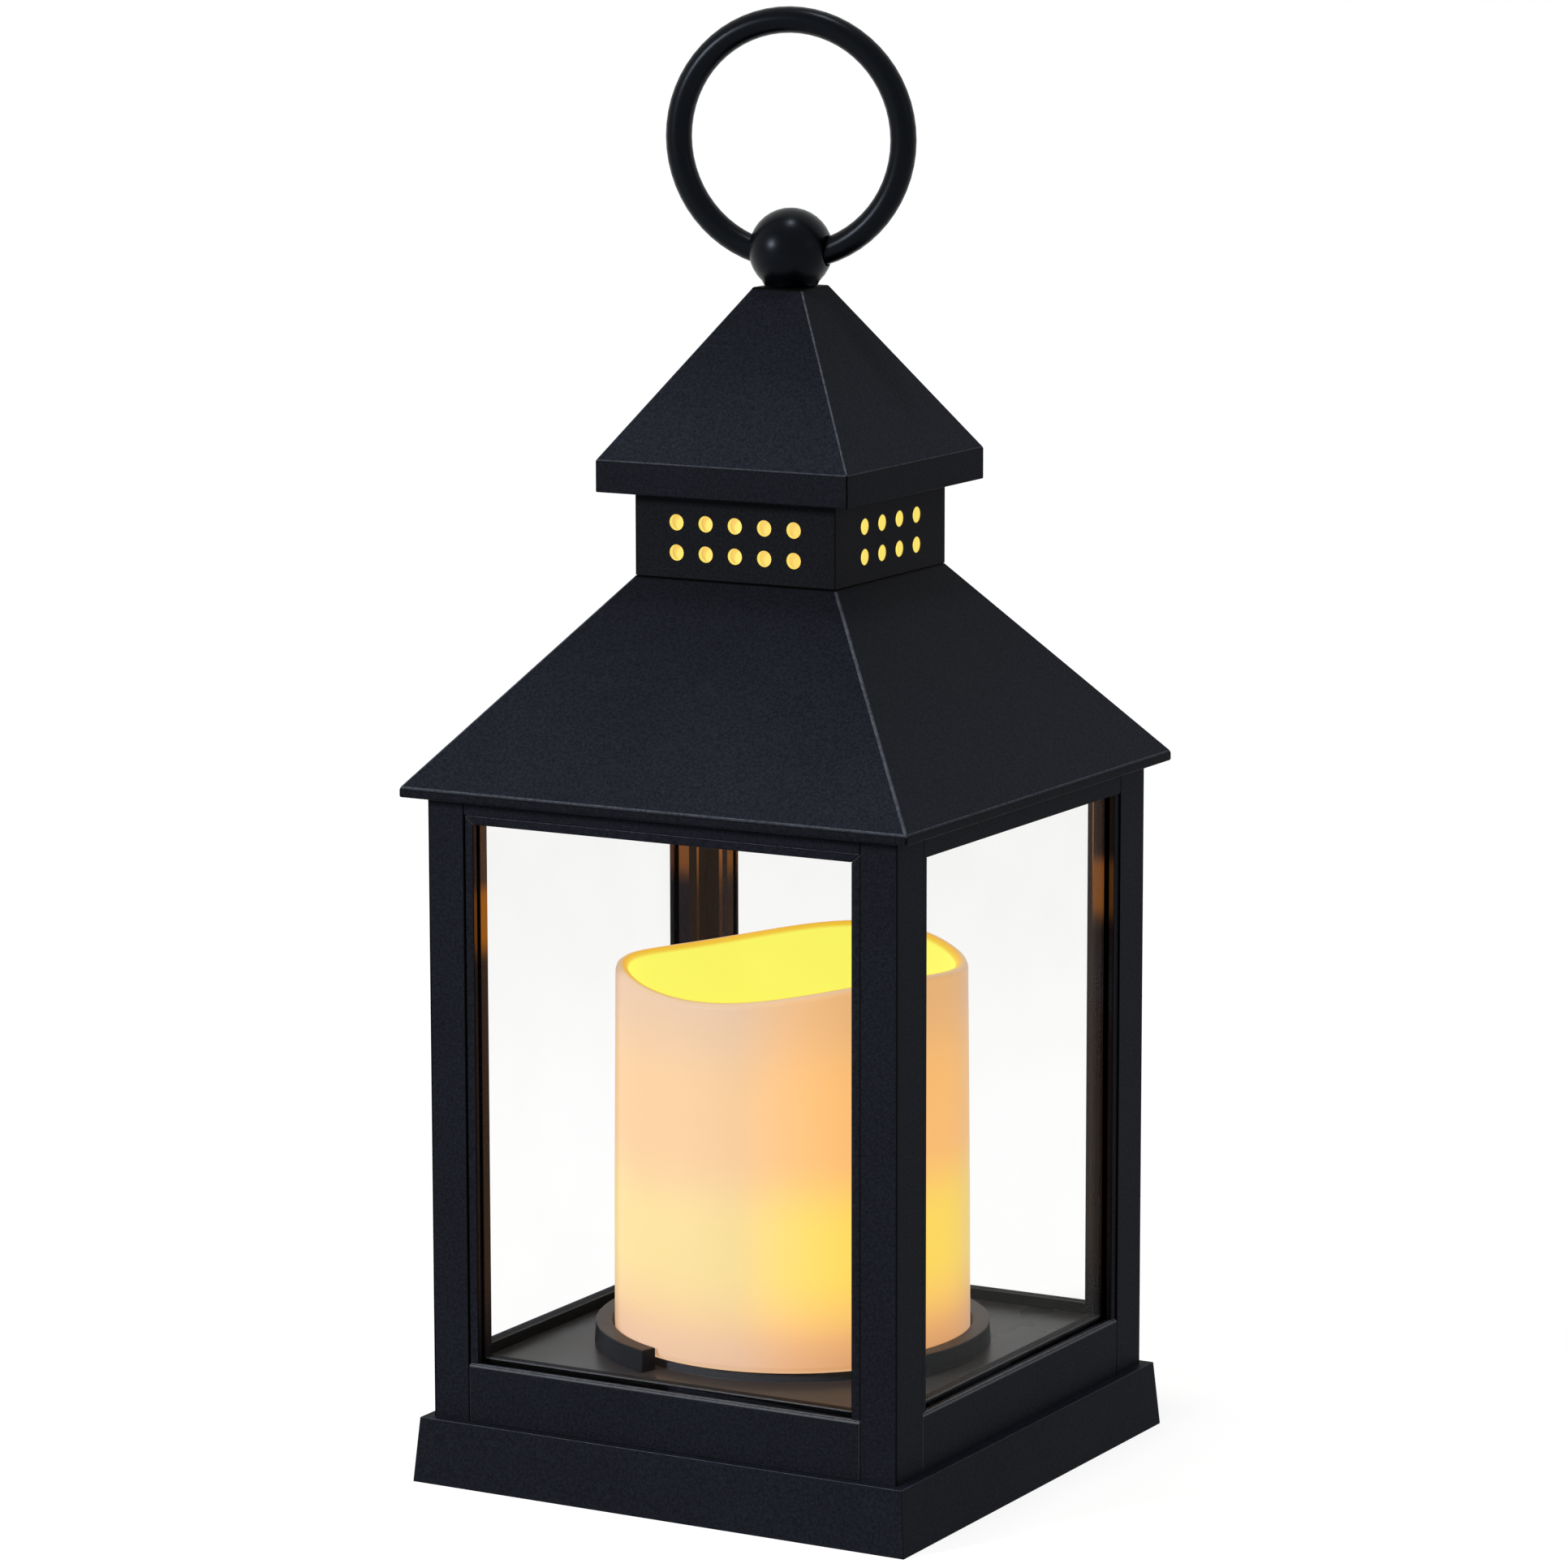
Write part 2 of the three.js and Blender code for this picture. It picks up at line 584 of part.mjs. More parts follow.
function bottomRail(postWidth) {
  const outerWall = [
    [0, PLINTH_HEIGHT],
    [RAIL_WALL, PLINTH_HEIGHT],
    [RAIL_WALL, RAIL_CORE_TOP],
    [SLOT_END, RAIL_CORE_TOP],
    [SLOT_END, PANE_BOTTOM],
    [SLOT_START, PANE_BOTTOM],
    [SLOT_START, BOTTOM_RAIL_TOP],
    [BOTTOM_RAIL_CHAMFER, BOTTOM_RAIL_TOP],
    [0, BOTTOM_RAIL_TOP - BOTTOM_RAIL_CHAMFER],
  ];
  const innerWall = [
    [SLOT_END - JOIN_LAP, RAIL_CORE_TOP],
    [RAIL_CORE_END, RAIL_CORE_TOP],
    [RAIL_CORE_END, PLINTH_HEIGHT],
    [FRAME_THICKNESS, PLINTH_HEIGHT],
    [FRAME_THICKNESS, BOTTOM_RAIL_TOP + BOTTOM_RAIL_LIP_RISE],
    [SLOT_END, BOTTOM_RAIL_TOP + BOTTOM_RAIL_LIP_RISE],
    [SLOT_END, PANE_BOTTOM],
    [SLOT_END - JOIN_LAP, PANE_BOTTOM],
  ];
  return betweenPosts([
    { points: outerWall, reachesPosts: true },
    { points: innerWall, reachesPosts: false },
  ], postWidth);
}

function topRail(postWidth, outerBottom) {
  const outerWall = [
    [0, outerBottom],
    [SLOT_START, outerBottom],
    [SLOT_START, TOP_SLOT_END],
    [SLOT_END, TOP_SLOT_END],
    [SLOT_END, BODY_TOP],
    [0, BODY_TOP],
  ];
  const innerWall = [
    [SLOT_END - JOIN_LAP, TOP_SLOT_END],
    [SLOT_END, TOP_SLOT_END],
    [SLOT_END, WINDOW_TOP],
    [FRAME_THICKNESS, WINDOW_TOP],
    [FRAME_THICKNESS, BODY_TOP],
    [SLOT_END - JOIN_LAP, BODY_TOP],
  ];
  return betweenPosts([
    { points: outerWall, reachesPosts: true },
    { points: innerWall, reachesPosts: false },
  ], postWidth);
}

function pane(postWidth) {
  const half = BODY_HALF - postWidth + SLOT_DEPTH - PANE_SIDE_GAP;
  const outerFace = -BODY_HALF + (SLOT_START + SLOT_END - PANE_THICKNESS) / 2;
  return block(-half, half, outerFace, outerFace + PANE_THICKNESS, PANE_BOTTOM, TOP_SLOT_END - PANE_SIDE_GAP);
}

// Upright bead beside a post on the left of a window, with a mitred or a square top end
function uprightBead(postWidth, mitred) {
  const x = -BODY_HALF + postWidth;
  const top = mitred ? WINDOW_TOP + TOP_BEAD_HEIGHT : WINDOW_TOP;
  const face = -BODY_HALF + BEAD_SET_BACK;
  const back = -BODY_HALF + SLOT_START;
  const inner = x + BEAD_WIDTH;
  const points = [[x, BOTTOM_RAIL_TOP], [inner, BOTTOM_RAIL_TOP], [inner, WINDOW_TOP], [x, top]];
  return standingStrip(points, face, back);
}

function topBead(postWidth) {
  const outer = BODY_HALF - postWidth;
  const inner = outer - BEAD_WIDTH;
  const top = WINDOW_TOP + TOP_BEAD_HEIGHT;
  const points = [[-inner, WINDOW_TOP], [inner, WINDOW_TOP], [outer, top], [-outer, top]];
  return standingStrip(points, -BODY_HALF + BEAD_SET_BACK, -BODY_HALF + SLOT_START);
}

// An outline in X and Z given a thickness from one Y to another
function standingStrip(points, y0, y1) {
  const geometry = new THREE.ExtrudeGeometry(outline(points), { depth: y1 - y0, bevelEnabled: false });
  geometry.rotateX(Math.PI / 2);
  geometry.translate(0, y1, 0);
  return solid(geometry);
}

function mirroredAcross(body) {
  const geometry = faces(body);
  geometry.scale(-1, 1, 1);
  return solid(geometry);
}

// Candle and lamp
function rimHeight(x, y) {
  const degrees = THREE.MathUtils.radToDeg(Math.atan2(x, -y));
  const lean = RIM_LEAN * Math.cos(THREE.MathUtils.degToRad(degrees - RIM_LEAN_DEG));
  const wave = RIM_WAVE * Math.cos(THREE.MathUtils.degToRad(3 * (degrees - RIM_WAVE_DEG)));
  return RIM_MEAN_HEIGHT + lean + wave;
}

function candleShell() {
  const lip = (CANDLE_TOP_RADIUS - CANDLE_BORE_RADIUS) / 2;
  const lipCentre = CANDLE_TOP_RADIUS - lip;
  const rounding = CANDLE_FOOT_ROUNDING;
  const profile = [[CANDLE_BASE_HOLE, CANDLE_FOOT]];
  for (const degrees of [0, 30, 60, 90]) {
    const angle = THREE.MathUtils.degToRad(degrees);
    profile.push([
      CANDLE_FOOT_RADIUS - rounding + rounding * Math.sin(angle),
      CANDLE_FOOT + rounding - rounding * Math.cos(angle),
    ]);
  }
  profile.push([CANDLE_FOOT_RADIUS - CANDLE_MIDDLE_TAPER, RIM_WAVE_START]);
  for (const degrees of [0, 36, 72, 108, 144, 180]) {
    const angle = THREE.MathUtils.degToRad(degrees);
    profile.push([lipCentre + lip * Math.cos(angle), RIM_MEAN_HEIGHT - lip + lip * Math.sin(angle)]);
  }
  profile.push([CANDLE_BORE_RADIUS, RIM_WAVE_START]);
  profile.push([CANDLE_BORE_RADIUS, CANDLE_FOOT + CANDLE_BASE_THICKNESS]);
  profile.push([CANDLE_BASE_HOLE, CANDLE_FOOT + CANDLE_BASE_THICKNESS]);
  profile.push([CANDLE_BASE_HOLE, CANDLE_FOOT]);
  const geometry = turnedGeometry(profile, CANDLE_SIDES);
  const position = geometry.attributes.position;
  for (let i = 0; i < position.count; i += 1) {
    const z = position.getZ(i);
    if (z <= RIM_WAVE_START) continue;
    const share = (z - RIM_WAVE_START) / (RIM_MEAN_HEIGHT - RIM_WAVE_START);
    position.setZ(i, z + share * (rimHeight(position.getX(i), position.getY(i)) - RIM_MEAN_HEIGHT));
  }
  return solid(geometry);
}

function lampPillar() {
  const flangeTop = FLOOR_TOP + LAMP_FLANGE_THICKNESS;
  return turned([
    [LAMP_PILLAR_BORE, FLOOR_TOP],
    [LAMP_FLANGE_RADIUS, FLOOR_TOP],
    [LAMP_FLANGE_RADIUS, flangeTop],
    [LAMP_PILLAR_RADIUS, flangeTop],
    [LAMP_PILLAR_RADIUS, LAMP_PILLAR_TOP],
    [LAMP_PILLAR_BORE, LAMP_PILLAR_TOP],
    [LAMP_PILLAR_BORE, FLOOR_TOP],
  ]);
}

function lampBoard() {
  return pin(LAMP_PILLAR_RADIUS, 0, 0, LAMP_PILLAR_TOP, LAMP_PILLAR_TOP + LAMP_BOARD_THICKNESS, ROUND_SIDES);
}

function candleLed() {
  const foot = LAMP_PILLAR_TOP + LAMP_BOARD_THICKNESS;
  const profile = [
    [0, foot],
    [LED_RADIUS + LED_RIM_WIDTH, foot],
    [LED_RADIUS + LED_RIM_WIDTH, foot + LED_RIM_HEIGHT],
    [LED_RADIUS, foot + LED_RIM_HEIGHT],
  ];
  for (const degrees of [0, 22.5, 45, 67.5]) {
    const angle = THREE.MathUtils.degToRad(degrees);
    profile.push([LED_RADIUS * Math.cos(angle), foot + LED_BODY_HEIGHT + LED_RADIUS * Math.sin(angle)]);
  }
  profile.push([0, foot + LED_BODY_HEIGHT + LED_RADIUS]);
  return turned(profile, CELL_SIDES);
}

// Roofs and chimney
function wallAcross(halfLow, zLow, halfHigh, zHigh) {
  const slope = Math.atan2(zHigh - zLow, halfLow - halfHigh);
  return ROOF_WALL / Math.sin(slope);
}

function lowerRoof() {
  const across = wallAcross(EAVE_HALF, EAVE_TOP, CHIMNEY_HALF, LOWER_ROOF_TOP);
  const outside = squareTower([
    [EAVE_HALF, BODY_TOP],
    [EAVE_HALF, EAVE_TOP],
    [CHIMNEY_HALF, LOWER_ROOF_TOP],
  ]);
  const rise = (EAVE_HALF - CHIMNEY_HALF) / (LOWER_ROOF_TOP - EAVE_TOP);
  const hollow = squareTaper(
    EAVE_HALF - across, EAVE_TOP, CHIMNEY_HALF - across - rise, LOWER_ROOF_TOP + 1,
  );
  const rimHalf = FRAME_INSIDE_HALF - ROOF_RIM_GAP;
  const rimBottom = BODY_TOP - ROOF_RIM_DEPTH;
  const rim = squareBlock(rimHalf, rimBottom, (BODY_TOP + EAVE_TOP) / 2);
  const mouth = squareBlock(rimHalf - ROOF_RIM_WALL, rimBottom - 1, EAVE_TOP + 1);
  return cutBy(joined([outside, rim]), [hollow, mouth]);
}

function chimneyBox() {
  const inside = CHIMNEY_HALF - CHIMNEY_WALL;
  const walls = cutBy(squareBlock(CHIMNEY_HALF, LOWER_ROOF_TOP, CHIMNEY_TOP), [
    squareBlock(inside, LOWER_ROOF_TOP - 1, CHIMNEY_TOP + 1),
  ]);
  const reach = CHIMNEY_HALF + 1;
  const holes = [];
  for (let row = 0; row < ROW_COUNT; row += 1) {
    const z = LOWER_ROOF_TOP + LOW_ROW_HEIGHT + row * ROW_PITCH;
    for (let i = 0; i < FRONT_HOLE_COUNT; i += 1) {
      const x = (i - (FRONT_HOLE_COUNT - 1) / 2) * FRONT_HOLE_PITCH;
      holes.push(holeAlongY(x, z, reach));
    }
    for (let i = 0; i < SIDE_HOLE_COUNT; i += 1) {
      const y = (i - (SIDE_HOLE_COUNT - 1) / 2) * SIDE_HOLE_PITCH;
      holes.push(holeAlongX(y, z, reach));
    }
  }
  return cutBy(walls, holes);
}

function holeAlongY(x, z, reach) {
  const geometry = new THREE.CylinderGeometry(HOLE_RADIUS, HOLE_RADIUS, 2 * reach, HOLE_SIDES);
  geometry.translate(x, 0, z);
  return solid(geometry);
}

function holeAlongX(y, z, reach) {
  const geometry = new THREE.CylinderGeometry(HOLE_RADIUS, HOLE_RADIUS, 2 * reach, HOLE_SIDES);
  geometry.rotateZ(Math.PI / 2);
  geometry.translate(0, y, z);
  return solid(geometry);
}

function glowSleeve() {
  const outer = CHIMNEY_HALF - CHIMNEY_WALL - SLEEVE_GAP;
  const top = CHIMNEY_TOP - SLEEVE_GAP;
  return cutBy(squareBlock(outer, LOWER_ROOF_TOP, top), [
    squareBlock(outer - SLEEVE_WALL, LOWER_ROOF_TOP - 1, top + 1),
  ]);
}

function capRoof() {
  const across = wallAcross(CAP_HALF, CAP_FASCIA_TOP, CAP_TOP_HALF, CAP_TOP);
  const outside = squareTower([
    [CAP_HALF, CAP_BOTTOM],
    [CAP_HALF, CAP_FASCIA_TOP],
    [CAP_TOP_HALF, CAP_TOP],
  ]);
  const skirtHollow = squareBlock(CAP_HALF - ROOF_WALL, CAP_BOTTOM - 1, CHIMNEY_TOP);
  const ledgeHalf = CHIMNEY_HALF - CHIMNEY_WALL;
  const mouth = squareBlock(ledgeHalf, CHIMNEY_TOP - 1, CHIMNEY_TOP + CAP_LEDGE_THICKNESS + 1);
  const rise = (CAP_HALF - CAP_TOP_HALF) / (CAP_TOP - CAP_FASCIA_TOP);
  const hollowBottom = CHIMNEY_TOP + CAP_LEDGE_THICKNESS;
  const lowHalf = CAP_HALF - across - rise * (hollowBottom - CAP_FASCIA_TOP);
  const highHalf = CAP_HALF - across - rise * (CROWN_UNDERSIDE - CAP_FASCIA_TOP);
  const hollow = squareTaper(lowHalf, hollowBottom, highHalf, CROWN_UNDERSIDE);
  const screwHole = pin(BALL_SCREW_RADIUS + SCREW_CLEARANCE, 0, 0, CROWN_UNDERSIDE - 1, CAP_TOP + 1);
  return cutBy(outside, [skirtHollow, mouth, hollow, screwHole]);
}

// Ball and ring, drawn with the hole along X and turned with the ball afterwards
// How far the middle of the ring's tube rises from its lowest point to the distance x
function ringSag(x) {
  return RING_RADIUS - Math.sqrt(RING_RADIUS ** 2 - x ** 2);
}

// The ring runs through the middle of both mouths, so the hole is widest halfway, where the ring hangs low
function ballHoleRadius(x) {
  const tubeAcross = (RING_TUBE_RADIUS * RING_RADIUS) / Math.sqrt(RING_RADIUS ** 2 - x ** 2);
  return tubeAcross + Math.abs(RING_DROP - ringSag(x)) + RING_HOLE_GAP;
}

function ballHole() {
  const steps = 6;
  const far = 2 * BALL_RADIUS;
  const profile = [[0, -far], [ballHoleRadius(BALL_MOUTH), -far]];
  for (let i = 0; i <= steps; i += 1) {
    const x = BALL_MOUTH * ((2 * i) / steps - 1);
    profile.push([ballHoleRadius(x), x]);
  }
  profile.push([ballHoleRadius(BALL_MOUTH), far], [0, far]);
  const geometry = turnedGeometry(profile, ROUND_SIDES);
  geometry.rotateY(Math.PI / 2);
  geometry.translate(0, 0, BALL_CENTRE);
  return solid(geometry);
}

function ringBall() {
  const foot = CAP_TOP + BALL_GAP;
  const startAngle = -Math.asin((BALL_CENTRE - foot - BALL_FOOT_RISE) / BALL_RADIUS);
  const profile = [[0, foot], [BALL_NECK_RADIUS, foot]];
  const steps = 14;
  for (let i = 0; i <= steps; i += 1) {
    const angle = startAngle + ((Math.PI / 2 - startAngle) * i) / steps;
    const radius = i === steps ? 0 : BALL_RADIUS * Math.cos(angle);
    profile.push([radius, BALL_CENTRE + BALL_RADIUS * Math.sin(angle)]);
  }
  const ball = turned(profile, BALL_SIDES);
  const far = 2 * BALL_RADIUS;
  const low = BALL_CENTRE - far;
  const high = BALL_CENTRE + far;
  return cutBy(ball, [
    ballHole(),
    block(BALL_MOUTH, far, -far, far, low, high),
    block(-far, -BALL_MOUTH, -far, far, low, high),
    pin(BALL_SCREW_RADIUS + SCREW_PILOT_CLEARANCE, 0, 0, foot - 1, BALL_CENTRE),
  ]);
}

function carryRing() {
  const geometry = new THREE.TorusGeometry(RING_RADIUS, RING_TUBE_RADIUS, SCREW_SIDES, RING_SIDES);
  geometry.rotateX(Math.PI / 2);
  geometry.translate(0, 0, RING_CENTRE);
  return solid(geometry);
}

function ballScrew() {
  const washerBottom = CROWN_UNDERSIDE - WASHER_THICKNESS;
  const headBottom = washerBottom - BALL_SCREW_HEAD_HEIGHT;
  const shank = pin(BALL_SCREW_RADIUS, 0, 0, washerBottom - JOIN_LAP, BALL_SCREW_TIP);
  const head = pin(BALL_SCREW_HEAD_RADIUS, 0, 0, headBottom, washerBottom);
  return joined([shank, head]).subtract(screwSlot(0, 0, BALL_SCREW_HEAD_RADIUS, headBottom));
}

function ballWasher() {
  const top = CROWN_UNDERSIDE;
  const bottom = top - WASHER_THICKNESS;
  const bore = BALL_SCREW_RADIUS + SCREW_CLEARANCE;
  return turned([[bore, bottom], [WASHER_RADIUS, bottom], [WASHER_RADIUS, top], [bore, top], [bore, bottom]]);
}

// Battery compartment
function batteryBox() {
  const outerLength = BAY_HALF_LENGTH + BAY_WALL;
  const outerWidth = BAY_HALF_WIDTH + BAY_WALL;
  const shellTop = BAY_INSIDE_TOP + BAY_WALL;
  const shell = block(-outerLength, outerLength, -outerWidth, outerWidth, COVER_TOP, shellTop);
  const inside = block(
    -BAY_HALF_LENGTH, BAY_HALF_LENGTH, -BAY_HALF_WIDTH, BAY_HALF_WIDTH, COVER_TOP - 1, BAY_INSIDE_TOP,
  );
  const slotTop = COVER_TOP + TAB_SLOT_HEIGHT;
  const slots = [-TAB_PLACE, TAB_PLACE].map((y) => {
    const half = TAB_WIDTH / 2 + DOOR_GAP;
    return block(-outerLength - 1, -BAY_HALF_LENGTH + 1, y - half, y + half, COVER_TOP - 1, slotTop);
  });
  return cutBy(shell, [inside, ...slots]);
}

function batteryDoor() {
  const halfLength = BAY_HALF_LENGTH - DOOR_GAP;
  const halfWidth = BAY_HALF_WIDTH - DOOR_GAP;
  const plate = block(-halfLength, halfLength, -halfWidth, halfWidth, COVER_BOTTOM, DOOR_TOP);
  const tabBottom = COVER_TOP + TAB_LIFT;
  const tabTop = tabBottom + TAB_THICKNESS;
  const tabs = [-TAB_PLACE, TAB_PLACE].map((y) => {
    const tabSides = [y - TAB_WIDTH / 2, y + TAB_WIDTH / 2];
    const root = block(-halfLength, -halfLength + TAB_ROOT, ...tabSides, COVER_BOTTOM, tabTop);
    const tip = block(-BAY_HALF_LENGTH - TAB_REACH, -halfLength + JOIN_LAP, ...tabSides, tabBottom, tabTop);
    return joined([root, tip]);
  });
  const fingerNotch = pin(
    NOTCH_RADIUS, halfLength + NOTCH_OFFSET, 0, COVER_BOTTOM - 1, DOOR_TOP + 1, ROUND_SIDES,
  );
  const latchNib = block(
    halfLength - JOIN_LAP, halfLength + LATCH_NIB_REACH,
    LATCH_NIB_PLACE - LATCH_NIB_WIDTH / 2, LATCH_NIB_PLACE + LATCH_NIB_WIDTH / 2,
    COVER_BOTTOM + LATCH_NIB_LIFT, DOOR_TOP,
  );
  return joined([plate.subtract(fingerNotch), latchNib, ...tabs]);
}

function batteryCell(y, nubTowardsPlusX) {
  const half = CELL_BODY_LENGTH / 2;
  const profile = [
    [0, -half],
    [CELL_RADIUS - CELL_EDGE, -half],
    [CELL_RADIUS, -half + CELL_EDGE],
    [CELL_RADIUS, half - CELL_EDGE],
    [CELL_RADIUS - CELL_EDGE, half],
    [CELL_NUB_RADIUS, half],
    [CELL_NUB_RADIUS, half + CELL_NUB_LENGTH],
    [0, half + CELL_NUB_LENGTH],
  ];
  const geometry = turnedGeometry(profile, CELL_SIDES);
  geometry.rotateY(nubTowardsPlusX ? Math.PI / 2 : -Math.PI / 2);
  geometry.translate(0, y, CELL_HEIGHT);
  return solid(geometry);
}

// A contact plate at the +X end of the compartment, with springs and pips at the given places
function contactPlate(springPlaces, pipPlaces) {
  const outerFace = BAY_HALF_LENGTH - CONTACT_WALL_GAP;
  const innerFace = outerFace - CONTACT_THICKNESS;
  const places = [...springPlaces, ...pipPlaces];
  const half = CELL_PITCH / 2 - CONTACT_SIDE_GAP;
  const plate = block(
    innerFace, outerFace, Math.min(...places) - half, Math.max(...places) + half,
    CELL_HEIGHT - CONTACT_BELOW, CELL_HEIGHT + CONTACT_ABOVE,
  );
  const pips = pipPlaces.map((y) => contactPip(innerFace, y));
  const springs = springPlaces.map((y) => contactSpring(innerFace, y));
  return joined([plate, ...pips, ...springs]);
}

// A small cone from the plate to the nub of a cell
function contactPip(plateFace, y) {
  const tip = CELL_BODY_LENGTH / 2 + CELL_NUB_LENGTH + CONTACT_CELL_GAP;
  const length = plateFace + JOIN_LAP - tip;
  const geometry = new THREE.CylinderGeometry(PIP_TIP_RADIUS, PIP_FOOT_RADIUS, length, HOLE_SIDES);
  geometry.rotateZ(Math.PI / 2);
  geometry.translate(tip + length / 2, y, CELL_HEIGHT);
  return solid(geometry);
}

// A small cone of spring wire from the plate to the flat end of a cell
function contactSpring(plateFace, y) {
  const start = plateFace + JOIN_LAP;
  const end = CELL_BODY_LENGTH / 2 + CONTACT_CELL_GAP + SPRING_WIRE_RADIUS;
  class SpringPath extends THREE.Curve {
    getPoint(t, target = new THREE.Vector3()) {
      const angle = 2 * Math.PI * SPRING_TURNS * t;
      const radius = THREE.MathUtils.lerp(SPRING_FOOT_RADIUS, SPRING_TIP_RADIUS, t);
      const x = THREE.MathUtils.lerp(start, end, t);
      return target.set(x, y + radius * Math.cos(angle), CELL_HEIGHT + radius * Math.sin(angle));
    }
  }
  const section = new THREE.Shape();
  section.absarc(0, 0, SPRING_WIRE_RADIUS, 0, 2 * Math.PI, false);
  return solid(new THREE.ExtrudeGeometry(section, {
    steps: 30,
    curveSegments: 3,
    extrudePath: new SpringPath(),
  }));
}

// Slide switch
function switchBody() {
  const shell = block(
    -SWITCH_HALF_LENGTH, SWITCH_HALF_LENGTH,
    SWITCH_PLACE - SWITCH_HALF_WIDTH, SWITCH_PLACE + SWITCH_HALF_WIDTH,
    COVER_TOP, COVER_TOP + SWITCH_HEIGHT,
  );
  const halfLength = (KNOB_TRAVEL + KNOB_LENGTH) / 2 + KNOB_FOOT_LIP + KNOB_GAP;
  const halfWidth = KNOB_WIDTH / 2 + KNOB_FOOT_LIP + KNOB_SIDE_GAP;
  const insideTop = COVER_TOP + KNOB_FOOT_LIFT + KNOB_FOOT_HEIGHT + KNOB_GAP;
  const inside = block(
    -halfLength, halfLength, SWITCH_PLACE - halfWidth, SWITCH_PLACE + halfWidth, COVER_TOP - 1, insideTop,
  );
  return shell.subtract(inside);
}

function switchKnob() {
  const footBottom = COVER_TOP + KNOB_FOOT_LIFT;
  const halfLength = KNOB_LENGTH / 2;
  const halfWidth = KNOB_WIDTH / 2;
  const stem = block(
    KNOB_REST - halfLength, KNOB_REST + halfLength,
    SWITCH_PLACE - halfWidth, SWITCH_PLACE + halfWidth,
    KNOB_BOTTOM, footBottom + JOIN_LAP,
  );
  const foot = block(
    KNOB_REST - halfLength - KNOB_FOOT_LIP, KNOB_REST + halfLength + KNOB_FOOT_LIP,
    SWITCH_PLACE - halfWidth - KNOB_FOOT_LIP, SWITCH_PLACE + halfWidth + KNOB_FOOT_LIP,
    footBottom, footBottom + KNOB_FOOT_HEIGHT,
  );
  return joined([stem, foot]);
}

// Base pieces
addPiece('base_plinth', plinth(), mattBlack);
addPiece('base_cover', baseCover(), mattBlack);
addPiece('floor_plate', floorPlate(), darkFloor);
addPiece('candle_collar', candleCollar(), darkFloor);
const cornerNames = ['front_left', 'front_right', 'back_right', 'back_left'];
cornerPlaces(BASE_SCREW_PLACE).forEach(([x, y], i) => {
  addPiece(`base_screw_${cornerNames[i]}`, baseScrew(x, y), screwSteel);
});

// Posts
addPiece('post_front_left', mirroredPost(false, false), mattBlack);
addPiece('post_front_right', mirroredPost(true, false), mattBlack);
addPiece('post_back_right', mirroredPost(true, true), mattBlack);
addPiece('post_back_left', mirroredPost(false, true), mattBlack);

// Front and back sides: mitred beads on three sides of the window
for (const [side, turnDegrees] of [['front', 0], ['back', 180]]) {
  const postWidth = POST_FRONT_WIDTH;
  const leftBead = uprightBead(postWidth, true);
  addPiece(`bottom_rail_${side}`, bottomRail(postWidth), mattBlack, turnDegrees);
  addPiece(`top_rail_${side}`, topRail(postWidth, WINDOW_TOP + TOP_BEAD_HEIGHT), mattBlack, turnDegrees);
  addPiece(`pane_${side}`, pane(postWidth), clearPane, turnDegrees);
  addPiece(`bead_${side}_a`, leftBead, mattBlack, turnDegrees);
  addPiece(`bead_${side}_b`, mirroredAcross(leftBead), mattBlack, turnDegrees);
  addPiece(`bead_${side}_top`, topBead(postWidth), mattBlack, turnDegrees);
}

// Left and right sides: the top rail comes down to the window, with upright beads only
for (const [side, turnDegrees] of [['right', 90], ['left', 270]]) {
  const postWidth = POST_SIDE_WIDTH;
  const nearBead = uprightBead(postWidth, false);
  addPiece(`bottom_rail_${side}`, bottomRail(postWidth), mattBlack, turnDegrees);
  addPiece(`top_rail_${side}`, topRail(postWidth, WINDOW_TOP), mattBlack, turnDegrees);
  addPiece(`pane_${side}`, pane(postWidth), clearPane, turnDegrees);
  addPiece(`bead_${side}_a`, nearBead, mattBlack, turnDegrees);
  addPiece(`bead_${side}_b`, mirroredAcross(nearBead), mattBlack, turnDegrees);
}

// Candle and lamp
addPiece('candle_shell', candleShell(), candleWax);
addPiece('lamp_pillar', lampPillar(), lampPlastic);
addPiece('lamp_board', lampBoard(), boardGreen);
addPiece('candle_led', candleLed(), ledAmber);

// Roofs
addPiece('lower_roof', lowerRoof(), mattBlack);
addPiece('chimney_box', chimneyBox(), mattBlack);
addPiece('glow_sleeve', glowSleeve(), yellowSleeve);
addPiece('cap_roof', capRoof(), mattBlack);

// Ball and ring
addPiece('ring_ball', ringBall(), satinBlack, RING_TURN_DEG);
addPiece('carry_ring', carryRing(), satinBlack, RING_TURN_DEG);
addPiece('ball_screw', ballScrew(), screwSteel, RING_TURN_DEG);
addPiece('ball_washer', ballWasher(), springSteel);

// Battery compartment and switch
addPiece('battery_box', batteryBox(), mattBlack);
addPiece('battery_door', batteryDoor(), mattBlack);
addPiece('battery_front', batteryCell(-CELL_PITCH, true), cellWrap);
addPiece('battery_middle', batteryCell(0, false), cellWrap);
addPiece('battery_back', batteryCell(CELL_PITCH, true), cellWrap);
addPiece('contact_plus', contactPlate([], [-CELL_PITCH]), springSteel);
addPiece('contact_bridge_right', contactPlate([0], [CELL_PITCH]), springSteel);
addPiece('contact_bridge_left', contactPlate([CELL_PITCH], [0]), springSteel, 180);
addPiece('contact_minus', contactPlate([-CELL_PITCH], []), springSteel, 180);
addPiece('switch_body', switchBody(), lampPlastic);
addPiece('switch_knob', switchKnob(), lampPlastic);

export default lantern;
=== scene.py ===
"""The finishes, soft studio light and camera for an LED lantern with a candle."""

import math

import bmesh
import bpy
from mathutils import Matrix, Vector


